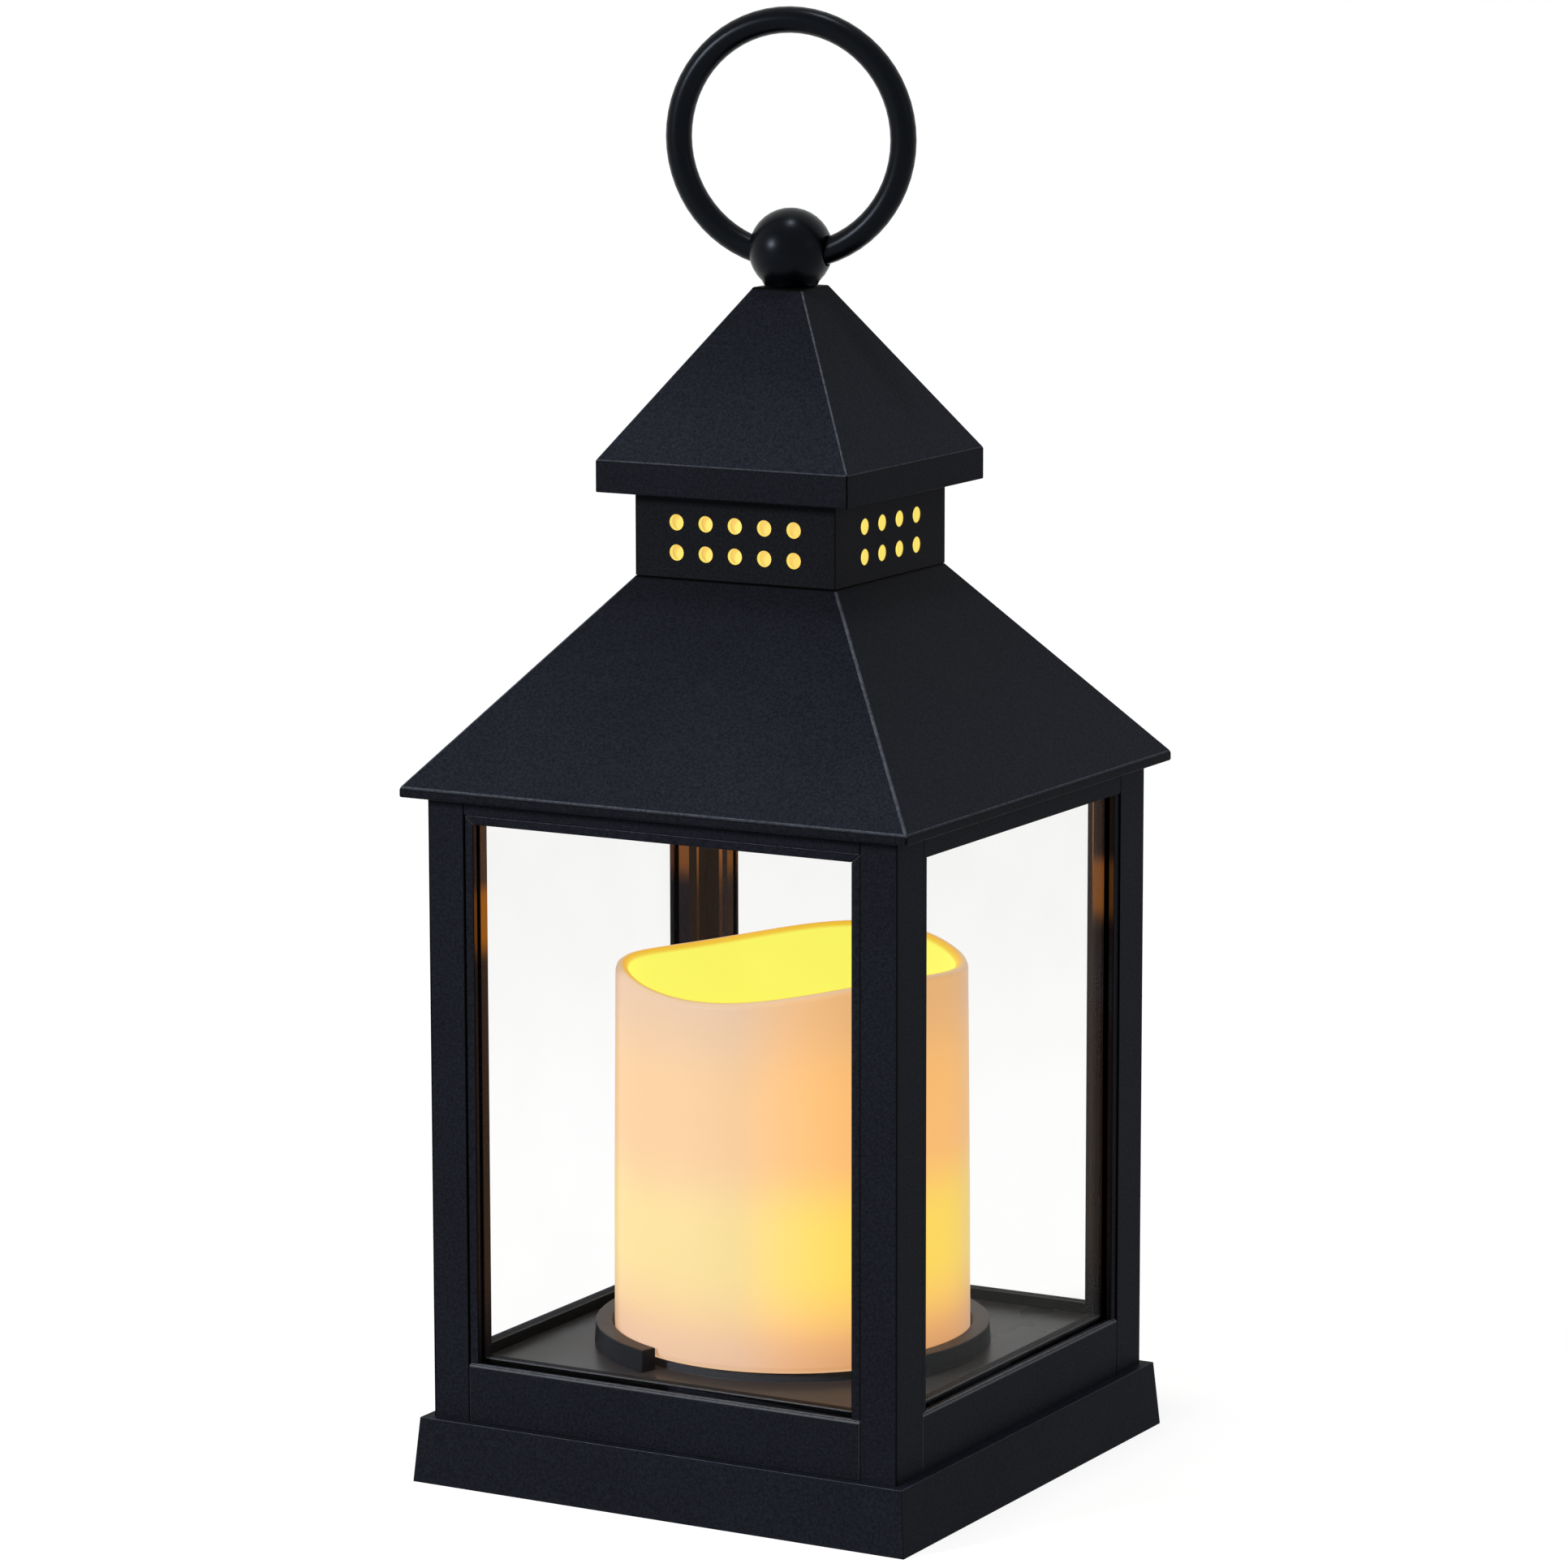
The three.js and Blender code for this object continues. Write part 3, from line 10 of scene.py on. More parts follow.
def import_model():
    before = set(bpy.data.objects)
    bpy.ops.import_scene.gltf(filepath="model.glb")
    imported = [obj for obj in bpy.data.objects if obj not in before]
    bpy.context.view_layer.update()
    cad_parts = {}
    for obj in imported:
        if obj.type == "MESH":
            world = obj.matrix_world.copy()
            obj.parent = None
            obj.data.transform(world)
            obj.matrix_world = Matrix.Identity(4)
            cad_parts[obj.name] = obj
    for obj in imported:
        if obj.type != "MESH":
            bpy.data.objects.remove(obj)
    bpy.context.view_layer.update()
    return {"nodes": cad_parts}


MM = 0.001

# Plain linear colours
WHITE = (1.0, 1.0, 1.0, 1.0)
UNLIT = (0.0, 0.0, 0.0, 1.0)
# Painted shade: the near-black of the shade lines at corners, seams, upright edges and upper roof edges
PAINTED_SHADE_LINE = (0.001, 0.001, 0.001, 1.0)
# Painted shade inside the slots that hold the panes
SLOT_SHADE = (0.0006, 0.0006, 0.0006, 1.0)

# The plastics, as hexadecimal colours, with painted light on rubbed edges, in the chimney's holes and by
# the candle
BLACK_TONE = "191b22"
CHIMNEY_TONE = "16171b"
SATIN_TONE = "020305"
# Edges: worn specks with a painted highlight where they look up
WORN_AND_LIT_TONE = "555961"
CHIMNEY_WORN_AND_LIT_TONE = "4c5059"
# Painted light: the dark orange of the hole walls, lit by the sleeve behind them
HOLE_LIT_TONE = "3a2408"
FLOOR_TONE = "43464c"
COLLAR_TONE = "292b2f"
# Painted light: the brown of the candle's light on the floor and collar close to it
CANDLE_LIT_FLOOR_TONE = "3f3026"

# The candle's glow, as linear colours: away from the front right post, then towards it
SIDE_GLOW = ((0.655, 0.375, 0.14, 1.0), (0.88, 0.42, 0.085, 1.0))
BAND_GLOW = ((0.665, 0.49, 0.13, 1.0), (0.90, 0.61, 0.03, 1.0))
FOOT_GLOW = ((0.56, 0.315, 0.185, 1.0), (0.63, 0.28, 0.09, 1.0))
TOP_GLOW = ((0.55, 0.34, 0.20, 1.0), (0.73, 0.37, 0.11, 1.0))

# The rest of the candle's glow: the line at its foot, the lip and the bowl
FOOT_LINE_GLOW = (0.9, 0.6, 0.34, 1.0)
CROWN_GLOW = (0.62, 0.41, 0.22, 1.0)
LIP_GLOW = (0.84, 0.44, 0.04, 1.0)
BOWL_RIM_GLOW = (0.90, 0.56, 0.04, 1.0)
BOWL_GLOW = (0.95, 0.92, 0.13, 1.0)

# The candle's light painted on the frame, the floor and the walls of the chimney's holes, and the lit
# sleeve behind the holes
REVEAL_HIGH = (0.060, 0.028, 0.013, 1.0)
REVEAL_LOW = (0.026, 0.012, 0.006, 1.0)
REVEAL_AMBER = (0.30, 0.09, 0.004, 1.0)
POST_BROWN = (0.018, 0.011, 0.007, 1.0)
POST_AMBER = (0.55, 0.18, 0.03, 1.0)
FLOOR_GLOW = (0.03, 0.02, 0.014, 1.0)
SLEEVE_FRONT = (0.72, 0.47, 0.13, 1.0)
SLEEVE_SIDE = (0.88, 0.74, 0.15, 1.0)
HOLE_EDGE = (0.12, 0.03, 0.002, 1.0)
HOLE_DEEP = (0.93, 0.76, 0.15, 1.0)

# The panes: their tint low down and high up, where they are clear and where they are hazy
PANE_CLEAR = ((0.958, 0.958, 0.954, 1.0), (0.914, 0.912, 0.906, 1.0))
PANE_HAZY = ((0.949, 0.949, 0.944, 1.0), (0.90, 0.897, 0.89, 1.0))
PANE_SHADOW = (0.93, 0.93, 0.93, 1.0)
PANE_INDEX = 1.06

# The camera, fitted to the corners of the plinth, body, roofs and cap
IMAGE_SIZE = 1932
FOCAL_PIXELS = 7717.4
SENSOR_WIDTH = 36.0
CAMERA_DISTANCE = 1.21621
CAMERA_HEIGHT = 0.34298
CAMERA_AROUND_DEG = 29.407
CAMERA_YAW_DEG = 0.071
CAMERA_PITCH_DEG = -9.663
CAMERA_ROLL_DEG = -0.104

# Places on the lantern that the finishes follow, in metres, or in degrees where the name says so
BODY_HALF = 51.75 * MM
POST_FRONT_WIDTH = 8.0 * MM
POST_SIDE_WIDTH = 10.3 * MM
CAP_HALF = 27.85 * MM
CANDLE_FOOT = 25.3 * MM
LED_HEIGHT = 50.0 * MM
RIM_MEAN = 100.4 * MM
RIM_LEAN = 1.5 * MM
RIM_LEAN_DEG = 141
RIM_WAVE = 1.2 * MM
RIM_WAVE_DEG = 59
DEEP_ORANGE_DEG = 61
LIP_LOW = 60.0 * MM
LIP_HIGH = 75.0 * MM
LENS_FOOT = 38.0 * MM
LENS_TIP = 46.0 * MM
WINDOW_LOW = 24.0 * MM
WINDOW_HIGH = 140.0 * MM
AMBER_LOW = 104.0 * MM
AMBER_HIGH = 121.0 * MM
SLOT_OUTER = 50.2 * MM
SLOT_INNER = 49.0 * MM
SLOT_TOP = 134.0 * MM
FRONT_REVEAL = 41.65 * MM
SIDE_REVEAL = 39.35 * MM
POST_INSIDE = 46.55 * MM
AMBER_LINE_FRONT = 43.2 * MM
AMBER_LINE_SIDE = 42.9 * MM
FLOOR_GLOW_NEAR = 37.0 * MM
FLOOR_GLOW_FAR = 46.0 * MM
CHIMNEY_HALF = 22.2 * MM
CHIMNEY_WALL = 1.2 * MM
HOLE_ROWS_LOW = 181.0 * MM
HOLE_ROWS_HIGH = 192.5 * MM
HOLES_REACH = 17.0 * MM
CORNER_LINE = 0.32 * MM
CHIMNEY_LINE = 0.3 * MM
SEAM_REACH = 0.24 * MM
ROOF_LOW = 139.0 * MM
ROOF_HIGH = 178.7 * MM
CAP_LOW = 201.3 * MM
CAP_HIGH = 234.1 * MM
CELL_BAND_START = 16.5 * MM
CELL_BAND_END = 18.0 * MM
CELL_WRAP_END = 21.2 * MM

# Edges: corners sharper than this are rounded, flatter ones joined, and close points welded
EDGE_FROM_DEG = 28.0
FLAT_WITHIN_DEG = 0.4
WELD_WITHIN = 0.002 * MM

# How much the matt black plastic shines
MATT_GLOSS = 0.025

# The studio: each light's name, place and width in metres and power in watts
LIGHTS = (
    ("left_light", (-0.76, -1.42, 0.72), 0.28, 20.5),
    ("right_light", (1.75, -0.15, 0.75), 0.4, 0.6),
    ("top_light", (0.08, -0.15, 1.9), 0.25, 10.0),
)
LIGHTS_AIM = (0.0, 0.0, 0.14)
WORLD_LIGHT = 0.30
FLOOR_SEEN_NEAR = 0.81
FLOOR_SEEN_FAR = 0.91


def colour(code):
    """A linear colour from six hexadecimal digits."""
    channels = [int(code[place:place + 2], 16) / 255 for place in (0, 2, 4)]
    linear = [part / 12.92 if part <= 0.04045 else ((part + 0.055) / 1.055) ** 2.4 for part in channels]
    return linear + [1.0]


# Short calls that add nodes to a material or to a node group


def connect(tree, source, socket):
    """Links an output to the socket, or sets the socket to a plain value."""
    if isinstance(source, bpy.types.NodeSocket):
        tree.links.new(source, socket)
    else:
        socket.default_value = source


def calculate(tree, operation, first, second=0.0, third=0.0, clamp=False):
    """One step of arithmetic."""
    node = tree.nodes.new("ShaderNodeMath")
    node.operation = operation
    node.use_clamp = clamp
    for source, socket in zip((first, second, third), node.inputs):
        connect(tree, source, socket)
    return node.outputs[0]


def vector_step(tree, operation, first, second=(0.0, 0.0, 0.0)):
    """One step of vector arithmetic, which gives a value for a length or a dot product."""
    node = tree.nodes.new("ShaderNodeVectorMath")
    node.operation = operation
    connect(tree, first, node.inputs[0])
    connect(tree, second, node.inputs[1])
    return node.outputs["Value" if operation in ("LENGTH", "DOT_PRODUCT") else "Vector"]


def fade(tree, value, start, end):
    """Rises smoothly from 0 to 1 as the value goes from start to end."""
    node = tree.nodes.new("ShaderNodeMapRange")
    node.interpolation_type = "SMOOTHSTEP"
    connect(tree, value, node.inputs["Value"])
    connect(tree, start, node.inputs["From Min"])
    connect(tree, end, node.inputs["From Max"])
    return node.outputs["Result"]


def scaled(tree, value, low, high):
    """Takes a value between 0 and 1 to the range from low to high."""
    node = tree.nodes.new("ShaderNodeMapRange")
    connect(tree, value, node.inputs["Value"])
    connect(tree, low, node.inputs["To Min"])
    connect(tree, high, node.inputs["To Max"])
    return node.outputs["Result"]


def mixed(tree, amount, first, second, way="MIX"):
    """The first colour turning into the second as the amount goes from 0 to 1."""
    node = tree.nodes.new("ShaderNodeMix")
    node.data_type = "RGBA"
    node.blend_type = way
    connect(tree, amount, node.inputs[0])
    connect(tree, first, node.inputs[6])
    connect(tree, second, node.inputs[7])
    return node.outputs[2]


def grey(tree, value):
    """A grey with the value in all three channels."""
    node = tree.nodes.new("ShaderNodeCombineColor")
    for socket in node.inputs:
        connect(tree, value, socket)
    return node.outputs[0]


def noise(tree, place, scale, detail, roughness=0.5):
    """Soft noise between 0 and 1, with scale in waves per metre."""
    node = tree.nodes.new("ShaderNodeTexNoise")
    tree.links.new(place, node.inputs["Vector"])
    connect(tree, scale, node.inputs["Scale"])
    node.inputs["Detail"].default_value = detail
    node.inputs["Roughness"].default_value = roughness
    return node.outputs["Fac"]


def position(tree):
    """The place on the object, in metres."""
    return tree.nodes.new("ShaderNodeTexCoord").outputs["Object"]


def split(tree, vector):
    """The three parts of a vector."""
    node = tree.nodes.new("ShaderNodeSeparateXYZ")
    tree.links.new(vector, node.inputs[0])
    return node.outputs


def bumped(tree, height, depth, strength):
    """A normal that follows the height, with depth in metres."""
    node = tree.nodes.new("ShaderNodeBump")
    node.inputs["Distance"].default_value = depth
    node.inputs["Strength"].default_value = strength
    tree.links.new(height, node.inputs["Height"])
    return node.outputs["Normal"]


def start_group(name, inputs, outputs):
    """A node group with its named inputs and outputs. Each input is a name, a kind and a value."""
    tree = bpy.data.node_groups.new(name, "ShaderNodeTree")
    for label, kind, value in inputs:
        socket = tree.interface.new_socket(label, in_out="INPUT", socket_type="NodeSocket" + kind)
        socket.default_value = value
    for label, kind in outputs:
        tree.interface.new_socket(label, in_out="OUTPUT", socket_type="NodeSocket" + kind)
    entry = tree.nodes.new("NodeGroupInput")
    exit_node = tree.nodes.new("NodeGroupOutput")
    return tree, entry.outputs, exit_node.inputs


def place_group(tree, group, **values):
    """Puts a node group into a material with its own values, and gives its outputs."""
    node = tree.nodes.new("ShaderNodeGroup")
    node.node_tree = group
    for label, value in values.items():
        connect(tree, value, node.inputs[label.replace("_", " ")])
    return node.outputs


# Effects that several finishes share


def moulded_grain():
    """The fine grain of a moulded surface, with soft mottling and small changes of gloss."""
    tree, given, result = start_group(
        "moulded grain",
        [
            ("Colour", "Color", (0.1, 0.1, 0.1, 1.0)),
            ("Roughness", "Float", 0.5),
            ("Grains", "Float", 1800.0),
            ("Speckle", "Float", 0.2),
            ("Mottle", "Float", 0.1),
        ],
        [("Colour", "Color"), ("Roughness", "Float"), ("Height", "Float")],
    )
    place = position(tree)
    grain = noise(tree, place, given["Grains"], 3.0, 0.7)
    cloud = noise(tree, place, 45.0, 3.0)
    low_grain = calculate(tree, "SUBTRACT", 1.0, given["Speckle"])
    high_grain = calculate(tree, "ADD", 1.0, given["Speckle"])
    low_cloud = calculate(tree, "SUBTRACT", 1.0, given["Mottle"])
    high_cloud = calculate(tree, "ADD", 1.0, given["Mottle"])
    speckle = scaled(tree, fade(tree, grain, 0.3, 0.7), low_grain, high_grain)
    mottle = scaled(tree, fade(tree, cloud, 0.3, 0.7), low_cloud, high_cloud)
    both = calculate(tree, "MULTIPLY", speckle, mottle)
    connect(tree, mixed(tree, 1.0, given["Colour"], grey(tree, both), "MULTIPLY"), result["Colour"])
    gloss = scaled(tree, cloud, 0.9, 1.1)
    connect(tree, calculate(tree, "MULTIPLY", given["Roughness"], gloss, clamp=True), result["Roughness"])
    connect(tree, grain, result["Height"])
    return tree


def worn_and_lit_edge():
    """A painted highlight on edges that look up, broken by worn specks, and painted shade on upright
    edges.
    """
    tree, given, result = start_group(
        "worn and lit edge",
        [("Lowest", "Float", 0.1), ("Highest", "Float", 0.75), ("Broken", "Float", 0.5)],
        [("Amount", "Float"), ("Seam", "Float")],
    )
    coordinates = tree.nodes.new("ShaderNodeTexCoord")
    upward = split(tree, coordinates.outputs["Normal"])[2]
    worn_and_lit = fade(tree, upward, given["Lowest"], given["Highest"])
    specks = fade(tree, noise(tree, coordinates.outputs["Object"], 900.0, 3.0, 0.7), 0.35, 0.62)
    least = calculate(tree, "SUBTRACT", 1.0, given["Broken"])
    amount = calculate(tree, "MULTIPLY", worn_and_lit, scaled(tree, specks, least, 1.0))
    connect(tree, amount, result["Amount"])
    connect(tree, fade(tree, calculate(tree, "ABSOLUTE", upward), 0.3, 0.1), result["Seam"])
    return tree


def near_value(tree, value, middle, reach):
    """1 where the value is at the middle, fading to 0 at the reach on both sides."""
    away = calculate(tree, "ABSOLUTE", calculate(tree, "SUBTRACT", value, middle))
    return fade(tree, away, reach, reach * 0.6)


def corner_line(tree, x, y, half, width):
    """1 within the width of the upright corners of a square with that half-size."""
    across_x = calculate(tree, "GREATER_THAN", calculate(tree, "ABSOLUTE", x), half - width)
    across_y = calculate(tree, "GREATER_THAN", calculate(tree, "ABSOLUTE", y), half - width)
    return calculate(tree, "MULTIPLY", across_x, across_y)


def bead_lines(tree, x, y):
    """1 on the seams between the posts and the beads, on the front, back and sides."""
    away_x = calculate(tree, "ABSOLUTE", x)
    away_y = calculate(tree, "ABSOLUTE", y)
    front = calculate(
        tree, "MULTIPLY",
        near_value(tree, away_x, BODY_HALF - POST_FRONT_WIDTH, SEAM_REACH),
        calculate(tree, "GREATER_THAN", away_y, BODY_HALF - 0.8 * MM),
    )
    side = calculate(
        tree, "MULTIPLY",
        near_value(tree, away_y, BODY_HALF - POST_SIDE_WIDTH, SEAM_REACH),
        calculate(tree, "GREATER_THAN", away_x, BODY_HALF - 0.8 * MM),
    )
    return calculate(tree, "MAXIMUM", front, side)


def candle_light():
    """The candle's light on the upright faces beside the windows and inside the corner posts."""
    tree, given, result = start_group(
        "candle light",
        [("Strength", "Float", 1.0)],
        [("Colour", "Color")],
    )
    coordinates = tree.nodes.new("ShaderNodeTexCoord")
    x, y, z = split(tree, coordinates.outputs["Object"])
    away_x = calculate(tree, "ABSOLUTE", x)
    away_y = calculate(tree, "ABSOLUTE", y)
    turned = split(tree, coordinates.outputs["Normal"])
    faces_x = fade(tree, calculate(tree, "ABSOLUTE", turned[0]), 0.6, 0.9)
    faces_y = fade(tree, calculate(tree, "ABSOLUTE", turned[1]), 0.6, 0.9)
    outermost = calculate(tree, "MAXIMUM", away_x, away_y)

    # Beside the windows: brown, amber just above the candle, weaker on the beads and at the sides
    front_reveal = calculate(tree, "MULTIPLY", faces_x, near_value(tree, away_x, FRONT_REVEAL, 0.5 * MM))
    side_reveal = calculate(tree, "MULTIPLY", faces_y, near_value(tree, away_y, SIDE_REVEAL, 0.5 * MM))
    on_bead = calculate(tree, "GREATER_THAN", outermost, SLOT_OUTER)
    above_candle = calculate(
        tree, "MULTIPLY",
        fade(tree, z, AMBER_LOW, AMBER_LOW + 6 * MM),
        fade(tree, z, AMBER_HIGH, AMBER_HIGH - 4 * MM),
    )
    at_side = scaled(tree, above_candle, 0.3, 1.0)
    side_reveal = calculate(tree, "MULTIPLY", side_reveal, at_side)
    reveal = calculate(tree, "MAXIMUM", front_reveal, side_reveal)
    reveal = calculate(tree, "MULTIPLY", reveal, scaled(tree, on_bead, 1.0, 0.35))
    in_front = scaled(tree, fade(tree, y, 10 * MM, -10 * MM), 0.5, 1.0)
    above_candle = calculate(tree, "MULTIPLY", above_candle, in_front)
    lower = fade(tree, z, 120 * MM, 100 * MM)
    beside = mixed(tree, lower, REVEAL_HIGH, REVEAL_LOW)
    beside = mixed(tree, above_candle, beside, REVEAL_AMBER)

    # Inside the posts: dark brown with a thin amber line down each face, fading downward
    inside_x = calculate(tree, "MULTIPLY", faces_x, near_value(tree, away_x, POST_INSIDE, 0.4 * MM))
    inside_y = calculate(tree, "MULTIPLY", faces_y, near_value(tree, away_y, POST_INSIDE, 0.4 * MM))
    line = calculate(
        tree, "MAXIMUM",
        calculate(tree, "MULTIPLY", inside_x, near_value(tree, away_y, AMBER_LINE_SIDE, 0.5 * MM)),
        calculate(tree, "MULTIPLY", inside_y, near_value(tree, away_x, AMBER_LINE_FRONT, 0.5 * MM)),
    )
    high = scaled(tree, fade(tree, z, 100 * MM, 126 * MM), 0.06, 1.0)
    inside = mixed(tree, calculate(tree, "MULTIPLY", line, high), POST_BROWN, POST_AMBER)
    post = calculate(tree, "MAXIMUM", inside_x, inside_y)

    lit = mixed(tree, post, UNLIT, inside)
    lit = mixed(tree, reveal, lit, beside)
    window = calculate(
        tree, "MULTIPLY",
        fade(tree, z, WINDOW_LOW, WINDOW_LOW + 20 * MM),
        fade(tree, z, WINDOW_HIGH, WINDOW_HIGH - 8 * MM),
    )
    strength = calculate(tree, "MULTIPLY", window, given["Strength"])
    connect(tree, mixed(tree, 1.0, lit, grey(tree, strength), "MULTIPLY"), result["Colour"])
    return tree


def start_finish(name):
    """A new material with its node tree and its shader."""
    material = bpy.data.materials.new(name)
    material.use_nodes = True
    return material, material.node_tree, material.node_tree.nodes["Principled BSDF"]


def let_through(tree, shader, amount, tone):
    """Turns the surface from the shader into a clear one of that tone as the amount goes from 0 to 1."""
    clear = tree.nodes.new("ShaderNodeBsdfTransparent")
    clear.inputs["Color"].default_value = tone
    choice = tree.nodes.new("ShaderNodeMixShader")
    tree.links.new(amount, choice.inputs[0])
    tree.links.new(shader.outputs[0], choice.inputs[1])
    tree.links.new(clear.outputs[0], choice.inputs[2])
    tree.links.new(choice.outputs[0], tree.nodes["Material Output"].inputs["Surface"])


# The finishes


def black_plastic(name, grain, edge=None, glow=None, heights=None, gloss=MATT_GLOSS, corner=None):
    """Matt black plastic with a blue cast and a fine grain.

    Given an edge group, edges take a painted highlight where they look up, broken by worn specks, and
    painted shade where they stand upright. Given a glow group, faces at the windows take the candle's
    painted light and the bead seams a painted shade line. Between two heights a painted shade makes the
    colour darker upward. The corner is how far out the upright edges with a painted shade line stand.
    """
    material, tree, shader = start_finish(name)
    surface = place_group(
        tree, grain, Colour=colour(BLACK_TONE), Roughness=0.55, Grains=1800.0, Speckle=0.42, Mottle=0.07
    )
    shown = surface["Colour"]
    coordinates = tree.nodes.new("ShaderNodeTexCoord")
    x, y, z = split(tree, coordinates.outputs["Object"])
    # Painted shade: darker from the lower height to the upper one, and at the lower height the upright
    # faces darker than the slopes
    if heights:
        upright = fade(tree, split(tree, coordinates.outputs["Normal"])[2], 0.3, 0.1)
        lowest = scaled(tree, upright, 1.3, 0.8)
        height_shade = scaled(tree, fade(tree, z, heights[0], heights[1]), lowest, 0.75)
        shown = mixed(tree, 1.0, shown, grey(tree, height_shade), "MULTIPLY")
    # Painted highlight on edges that look up, broken by worn specks, and painted shade on upright edges
    if edge:
        edge_wear_and_light = place_group(tree, edge, Lowest=0.15, Highest=0.7, Broken=0.5)
        shown = mixed(tree, edge_wear_and_light["Amount"], shown, colour(WORN_AND_LIT_TONE))
        shown = mixed(tree, calculate(tree, "MULTIPLY", edge_wear_and_light["Seam"], 0.8), shown, PAINTED_SHADE_LINE)

    # Painted shade lines: round a roof's upper edge, down the outer corners and along the bead seams
    if heights:
        upper_edge_shadow = fade(tree, z, heights[1] - 0.6 * MM, heights[1] - 0.3 * MM)
        shown = mixed(tree, upper_edge_shadow, shown, PAINTED_SHADE_LINE)
    if corner:
        shown = mixed(tree, corner_line(tree, x, y, corner, CORNER_LINE), shown, PAINTED_SHADE_LINE)
    if glow:
        shown = mixed(tree, bead_lines(tree, x, y), shown, PAINTED_SHADE_LINE)

    # Painted shade: the slots that hold the panes are darkened nearly black inside
    outermost = calculate(
        tree, "MAXIMUM", calculate(tree, "ABSOLUTE", x), calculate(tree, "ABSOLUTE", y)
    )
    slot_shade = calculate(
        tree, "MULTIPLY",
        calculate(tree, "GREATER_THAN", outermost, SLOT_INNER),
        calculate(tree, "LESS_THAN", outermost, SLOT_OUTER),
    )
    slot_shade = calculate(tree, "MULTIPLY", slot_shade, calculate(tree, "LESS_THAN", z, SLOT_TOP))
    shown = mixed(tree, slot_shade, shown, SLOT_SHADE)

    connect(tree, shown, shader.inputs["Base Color"])
    connect(tree, surface["Roughness"], shader.inputs["Roughness"])
    if not glow:
        connect(tree, bumped(tree, surface["Height"], 0.05 * MM, 0.4), shader.inputs["Normal"])
    else:
        lit = place_group(tree, glow, Strength=calculate(tree, "SUBTRACT", 1.0, slot_shade))["Colour"]
        connect(tree, lit, shader.inputs["Emission Color"])
        shader.inputs["Emission Strength"].default_value = 1.0
    shader.inputs["Specular IOR Level"].default_value = gloss
    return material


def chimney_plastic(grain, edge):
    """The chimney's black plastic, tinted dark orange inside its holes by the light behind them."""
    material, tree, shader = start_finish("chimney_plastic")
    surface = place_group(
        tree, grain, Colour=colour(CHIMNEY_TONE), Roughness=0.55, Grains=1800.0, Speckle=0.42, Mottle=0.07
    )
    # Painted highlight on edges that look up, broken by worn specks, at half strength
    worn_and_lit = place_group(tree, edge, Lowest=0.3, Highest=0.8, Broken=0.5)["Amount"]
    worn_and_lit = calculate(tree, "MULTIPLY", worn_and_lit, 0.5)
    coordinates = tree.nodes.new("ShaderNodeTexCoord")
    x, y, z = split(tree, coordinates.outputs["Object"])
    away_x = calculate(tree, "ABSOLUTE", x)
    away_y = calculate(tree, "ABSOLUTE", y)
    turned = split(tree, coordinates.outputs["Normal"])
    rows = calculate(
        tree, "MULTIPLY",
        calculate(tree, "GREATER_THAN", z, HOLE_ROWS_LOW),
        calculate(tree, "LESS_THAN", z, HOLE_ROWS_HIGH),
    )
    edges = []
    for through, beside, facing in ((away_y, away_x, turned[1]), (away_x, away_y, turned[0])):
        in_wall = calculate(tree, "GREATER_THAN", through, CHIMNEY_HALF - CHIMNEY_WALL - 0.1 * MM)
        near_holes = calculate(tree, "LESS_THAN", beside, HOLES_REACH)
        on_side = fade(tree, calculate(tree, "ABSOLUTE", facing), 0.95, 0.6)
        beside_holes = calculate(tree, "MULTIPLY", in_wall, near_holes)
        edges.append(calculate(tree, "MULTIPLY", beside_holes, on_side))
    # The holes' walls take painted light from the sleeve: a dark orange tone, and a glow that is brighter
    # deeper in
    hole_wall = calculate(tree, "MULTIPLY", calculate(tree, "MAXIMUM", edges[0], edges[1]), rows)
    outermost = calculate(tree, "MAXIMUM", away_x, away_y)
    deep = fade(tree, outermost, CHIMNEY_HALF - 0.02 * MM, CHIMNEY_HALF - 0.2 * MM)
    lit = mixed(tree, deep, HOLE_EDGE, HOLE_DEEP)
    shown = mixed(tree, worn_and_lit, surface["Colour"], colour(CHIMNEY_WORN_AND_LIT_TONE))
    # Painted shade line down the chimney's upright corners
    shown = mixed(tree, corner_line(tree, x, y, CHIMNEY_HALF, CHIMNEY_LINE), shown, PAINTED_SHADE_LINE)
    shown = mixed(tree, hole_wall, shown, colour(HOLE_LIT_TONE))
    connect(tree, shown, shader.inputs["Base Color"])
    connect(tree, surface["Roughness"], shader.inputs["Roughness"])
    connect(tree, bumped(tree, surface["Height"], 0.05 * MM, 0.5), shader.inputs["Normal"])
    connect(tree, mixed(tree, hole_wall, UNLIT, lit), shader.inputs["Emission Color"])
    shader.inputs["Emission Strength"].default_value = 1.0
    shader.inputs["Specular IOR Level"].default_value = MATT_GLOSS
    return material


def satin_black(grain):
    """The smoother black of the ball and the ring, with soft broad highlights."""
    material, tree, shader = start_finish("satin_black_plastic")
    surface = place_group(
        tree, grain, Colour=colour(SATIN_TONE), Roughness=0.29, Grains=1500.0, Speckle=0.2, Mottle=0.08
    )
    connect(tree, surface["Colour"], shader.inputs["Base Color"])
    connect(tree, surface["Roughness"], shader.inputs["Roughness"])
    connect(tree, bumped(tree, surface["Height"], 0.04 * MM, 0.25), shader.inputs["Normal"])
    shader.inputs["Specular IOR Level"].default_value = 0.09
    shader.inputs["Specular Tint"].default_value = (0.72, 0.82, 1.0, 1.0)
    return material


